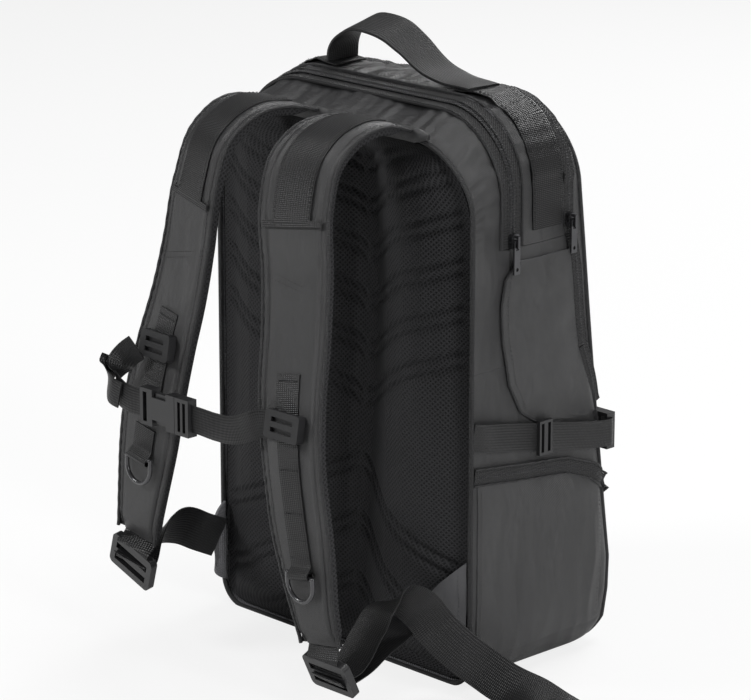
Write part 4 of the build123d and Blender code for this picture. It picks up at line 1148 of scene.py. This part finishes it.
def side_pocket(sign, side_name, z0, z1, count, body):
    z, u = spread(z0, z1, count, 0, 1, 44)
    rear, front = np.interp(z, POCKET_EDGE[:, 1], POCKET_EDGE[:, 0]), zip_y(z) - 6.5
    full = np.sin(np.pi * u) ** 0.6 * step(z, 221, 246) * (1 - step(z, 345, 377))
    folds = soft_noise(z, u * 90, 31 + sign, 38) * 0.7 * np.sin(np.pi * u) ** 0.5
    grid = side_point(sign, rear + (front - rear) * u, z, 1.7 + 3.2 * full + folds)
    wall(f"side_pocket_{side_name}_{int(z0)}", grid, body, f"side_pocket_{side_name}", (0, 0, z.mean()), 1.5)
    edge = grid[:, 0] + np.array([sign * -0.3, 0, 0])
    out = sideways(sign, len(edge))
    across = unit(np.cross(out, np.gradient(edge, axis=0)))
    cord(f"pocket_piping_{side_name}_{int(z0)}", edge, across, out, 1.3, body)
    line = grid[:, 3] + np.array([sign * 0.3, 0, 0])
    finish(stitches(f"pocket_stitch_{side_name}_{int(z0)}", line, out, body, *POCKET), body)


for sign, side_name in SIDES:
    side_pocket(sign, side_name, 221.5, FOLD_LOW, 40, "bag")
    side_pocket(sign, side_name, FOLD_LOW, 376.0, 56, None)

# %% Front zip and the access zip
NODE_OF = {"lid": "front_zip_lid", "low": "front_zip_lower"}
for name, start, stop, body in (("lid", -Q_END + 0.5, Q_END - 0.5, "lid"),
                                ("fold_right", Q_END, Q_FOLD - 0.3, None),
                                ("fold_left", -Q_END, -Q_FOLD + 0.3, None),
                                ("low_right", Q_FOLD + 0.3, run_at(228), "bag"),
                                ("low_left", -Q_FOLD - 0.3, -run_at(228), "bag")):
    p = np.linspace(start, stop, 420 if name == "lid" else 70)
    if start < stop:
        frame_line = ring_frame(p, zip_y, 0.7, on_wall=True)
    else:
        centre, side, out = ring_frame(p, zip_y, 0.7, on_wall=True)
        frame_line = centre, -side, out
    zip_tape(f"front_zip_{name}", frame_line, 12.0, body, NODE_OF.get(name.split("_")[0]))
    coil(f"front_zip_coil_{name}", *frame_line, 3.4, 1.5, body)
    for shift in (-4.8, 4.8):
        line = frame_line[0] + frame_line[1] * shift + frame_line[2] * 0.9
        finish(stitches(f"front_zip_stitch_{name}_{shift}", line, frame_line[2], body, *FINE), body)


access_z = np.linspace(246, 380, 90)
centre = side_point(-1, 0 * access_z - 68.0, access_z, 0.3)
tangent = unit(np.gradient(centre, axis=0))
out = sideways(-1, 90)
out = unit(out - tangent * (out * tangent).sum(1, keepdims=True))
line = centre, unit(np.cross(out, tangent)), out
zip_tape("access_zip", line, 11.0, "bag", "access_zip_tape")
coil("access_zip_coil", *line, 3.2, 1.4, "bag")


# %% Lower pockets and the zip above them
def low_zip_z(y):
    """Height of the low zip's middle on the sides at a depth."""
    return np.interp(y, [-83, 30, 66, 90], [193, 180, 167, 148.5])


for sign, side_name in SIDES:
    y, t = spread(-79, 76, 70, 0, 1, 54)
    z = 26.5 + (low_zip_z(y) - 6.5 - 26.5) * t
    border = np.clip(np.minimum(np.minimum(y + 79, 76 - y) / 14, np.minimum(t, 1 - t) * 10), 0, 1)
    pillow = np.sin(border * np.pi / 2) ** 0.7
    grid = side_point(sign, y, z, 0.9 + 1.6 * pillow)
    wall(f"lower_pocket_{side_name}", grid, "bag", f"lower_pocket_{side_name}", (0, 0, 100), 1.4)
    for k, (line_y, low, high) in enumerate(((-76.0, 30, 180), (73.0, 30, 152))):
        line_z = np.linspace(low, high, 50)
        line = side_point(sign, 0 * line_z + line_y, line_z, 2.2)
        stitches(f"lower_pocket_stitch_{side_name}_{k}", line, sideways(sign, 1), "bag", *POCKET)

FRONT_ZIP_Z = 147.0
side_run = np.linspace(-83, 86, 60)
front_run = np.linspace(HALF - 8, -HALF + 8, 90)
low_route = np.vstack([
    side_point(1, side_run, low_zip_z(side_run), 1.0),
    np.stack([front_run, front_depth(front_run, FRONT_ZIP_Z) + 0.7, 0 * front_run + FRONT_ZIP_Z], 1),
    side_point(-1, side_run[::-1], low_zip_z(side_run[::-1]), 1.0),
])
centre, side, out = line = stations(low_route, UP, 420)
zip_tape("low_zip", line, 12.0, "bag", "lower_zip")
coil("low_zip_coil", *line, 3.4, 1.5, "bag")
for shift in (-4.9, 4.9):
    stitches(f"low_zip_stitch_{shift}", centre + side * shift + out * 0.9, out, "bag", *FINE)
for shift in (-7.2, 7.2):
    cord(f"low_zip_edge_{shift}", centre + side * shift + out * 0.6, side, out, 1.1, "bag")

# %% Front pocket
z, u = spread(160, 240.5, 50, -1, 1, 90)
border = np.clip(np.minimum((1 - np.abs(u)) * 7, np.minimum(z - 160, 240.5 - z) / 12), 0, 1)
rise = 1.0 + 3.2 * np.sin(border * np.pi / 2) ** 0.7
grid = np.stack([u * 90.0, front_depth(u * 90.0, z) + rise + soft_noise(u * 90, z, 41, 45) * 0.5 * border, z],
                -1)
wall("front_pocket", grid, "bag", "front_pocket", (0, -40, 200), 1.5)
x = np.linspace(90, -90, 120)
line = stations(np.stack([x, front_depth(x, 247.5) + 0.4, 0 * x + 247.5], 1), UP, 120)
zip_tape("front_pocket_zip", line, 12.0, "bag", "front_pocket_zip")
coil("front_pocket_zip_coil", *line, 3.4, 1.5, "bag")
print("low zip:", round(spacing(low_route)[-1]), "mm of tape")

# %% Divider inside
z, u = spread(8.5, 300, 30, -1, 1, 20)
grid = np.stack([u * np.minimum(half_width(z) - 6.0, 155.0), 27.5 - 0.8 * np.sin(np.pi * u) * np.sin(z / 60),
                 z], -1)
finish(panel("divider", grid, 3.0, [LINING], "bag", centre=(0, -300, 150)), "bag",
       "compartment_divider")

# %% [markdown]
# ## Compression straps and the handle
# The narrow webbing crosses each side from the back seam to a buckle on the front corner, and its last
# stretch rides on no body. The handle is one webbing that stands in an arch over the top and runs down over
# both shoulders of the lid.


def strap_z(y):
    return 229.0 - 0.1908 * (y + 82.0)


for sign, side_name in SIDES:
    rear_y = np.array([-84.5, -76, -40, -5, 29])
    rear_x = np.array([160.5, 163.0, 163.3, 163.3, 163.3]) * sign
    rear = np.stack([rear_x, rear_y, strap_z(rear_y)], 1)
    front = np.array([(sign * x, y, z) for x, y, z in (
        (163.3, 28, strap_z(28)), (164.3, 45, 204.9), (166.4, 62, 202.4), (168.7, 76, 201.2),
        (168.9, 81.5, 201), (166.6, 85.0, 201), (161, 85.0, 201))])
    if sign < 0:
        rear, front = rear[::-1], front[::-1]
    web(f"compression_{side_name}_webbing", rear, UP, 24.5, "bag", 110, lift=0.2, waves=0.2,
        replaces="compression_webbing")
    piece = web(f"compression_{side_name}_wrap", front, UP, 24.5, None, 90, lift=0.2, waves=0.15, seed=4.0,
                replaces=f"compression_wrap_{side_name}")
    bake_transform(piece)
    for k, shift in enumerate((-9.5, 9.5)):
        line = np.stack([np.full(8, sign * 165.0), np.linspace(-79, -70, 8),
                         strap_z(-74.5) + shift + 0 * np.arange(8)], 1)
        stitches(f"compression_stitch_{side_name}_{k}", line, sideways(sign, 1), "bag", *HEAVY)
    tail_y = float(front_y(201)) + 1.0
    tab = np.array([(sign * x, tail_y + dy, 201.0)
                    for x, dy in ((84, 0.2), (94, 0.8), (101, 3.0), (107, 5.4))])
    if sign > 0:
        tab = tab[::-1]
    web(f"buckle_tab_{side_name}", tab, UP, 24.5, "bag", 40, lift=0.3, waves=0.0)

# %% Handle
# distance to the right and height over the top, from the lying side to the steep one
ARCH = [(96, 0), (80, 0.6), (62, 2), (44, 6), (26, 14), (8, 25), (-12, 34), (-34, 38), (-54, 36), (-70, 26),
        (-79, 12), (-81, 0)]
arch = np.array([(x, -8.0, 513.0 + z) for x, z in ARCH])
lean = 0.28 * np.clip(np.array(ARCH)[:, 1] / 30, 0, 1)
across = np.stack([0 * lean, 0 * lean - 1, -lean], 1)
web("handle", arch, across, 37.5, "lid", 180, waves=0.35, thickness=3.0, replaces="carry_handle")
print("handle:", round(spacing(arch)[-1]), "mm over the arch")
for sign, side_name in SIDES:
    p = sign * np.linspace(70, run_at(400), 150)
    depth = np.interp(np.abs(p), [74, 140], [-8.0, 4.0])
    centre, side, out = ring_frame(p, depth, 0.6, on_wall=True)
    flat_web(f"handle_band_{side_name}", (centre, side * sign, out), 38.0, "lid", waves=0.2)
    for k, shift in enumerate((-16.5, 16.5)):
        line = centre + side * shift + out * 1.9
        stitches(f"handle_band_stitch_{side_name}_{k}", line[4:-4], out[4:-4], "lid", *COARSE)
    near = np.abs(outline(p)[:, 1] - 484) < 17
    cross_stitch(f"handle_cross_{side_name}", (centre[near], side[near], out[near] * 1.15), 38.0, "lid")

# %% [markdown]
# ## Hardware
# The moulded and metal parts keep the frame's own solids.

# %% Finishes for the frame's solids
HARDWARE = {"frame_sheet": STIFFENER, "base_board": STIFFENER, "right_d_ring": RING_METAL,
            "left_d_ring": RING_METAL}
HARDWARE.update(dict.fromkeys(
    ("compression_triglides", "compression_sockets", "compression_plug_right", "compression_plug_left",
     "right_ladder_lock", "left_ladder_lock", "right_adjuster", "left_adjuster", "sternum_socket",
     "sternum_plug"), ACETAL))
for name, obj in frame["nodes"].items():
    material = HARDWARE.get(name) or (ZIP_METAL if name.endswith(("_slider", "_pull")) else None)
    if material:
        for slot in obj.material_slots:
            slot.material = material
print("hardware finishes:", len(HARDWARE), "nodes and every slider and pull")
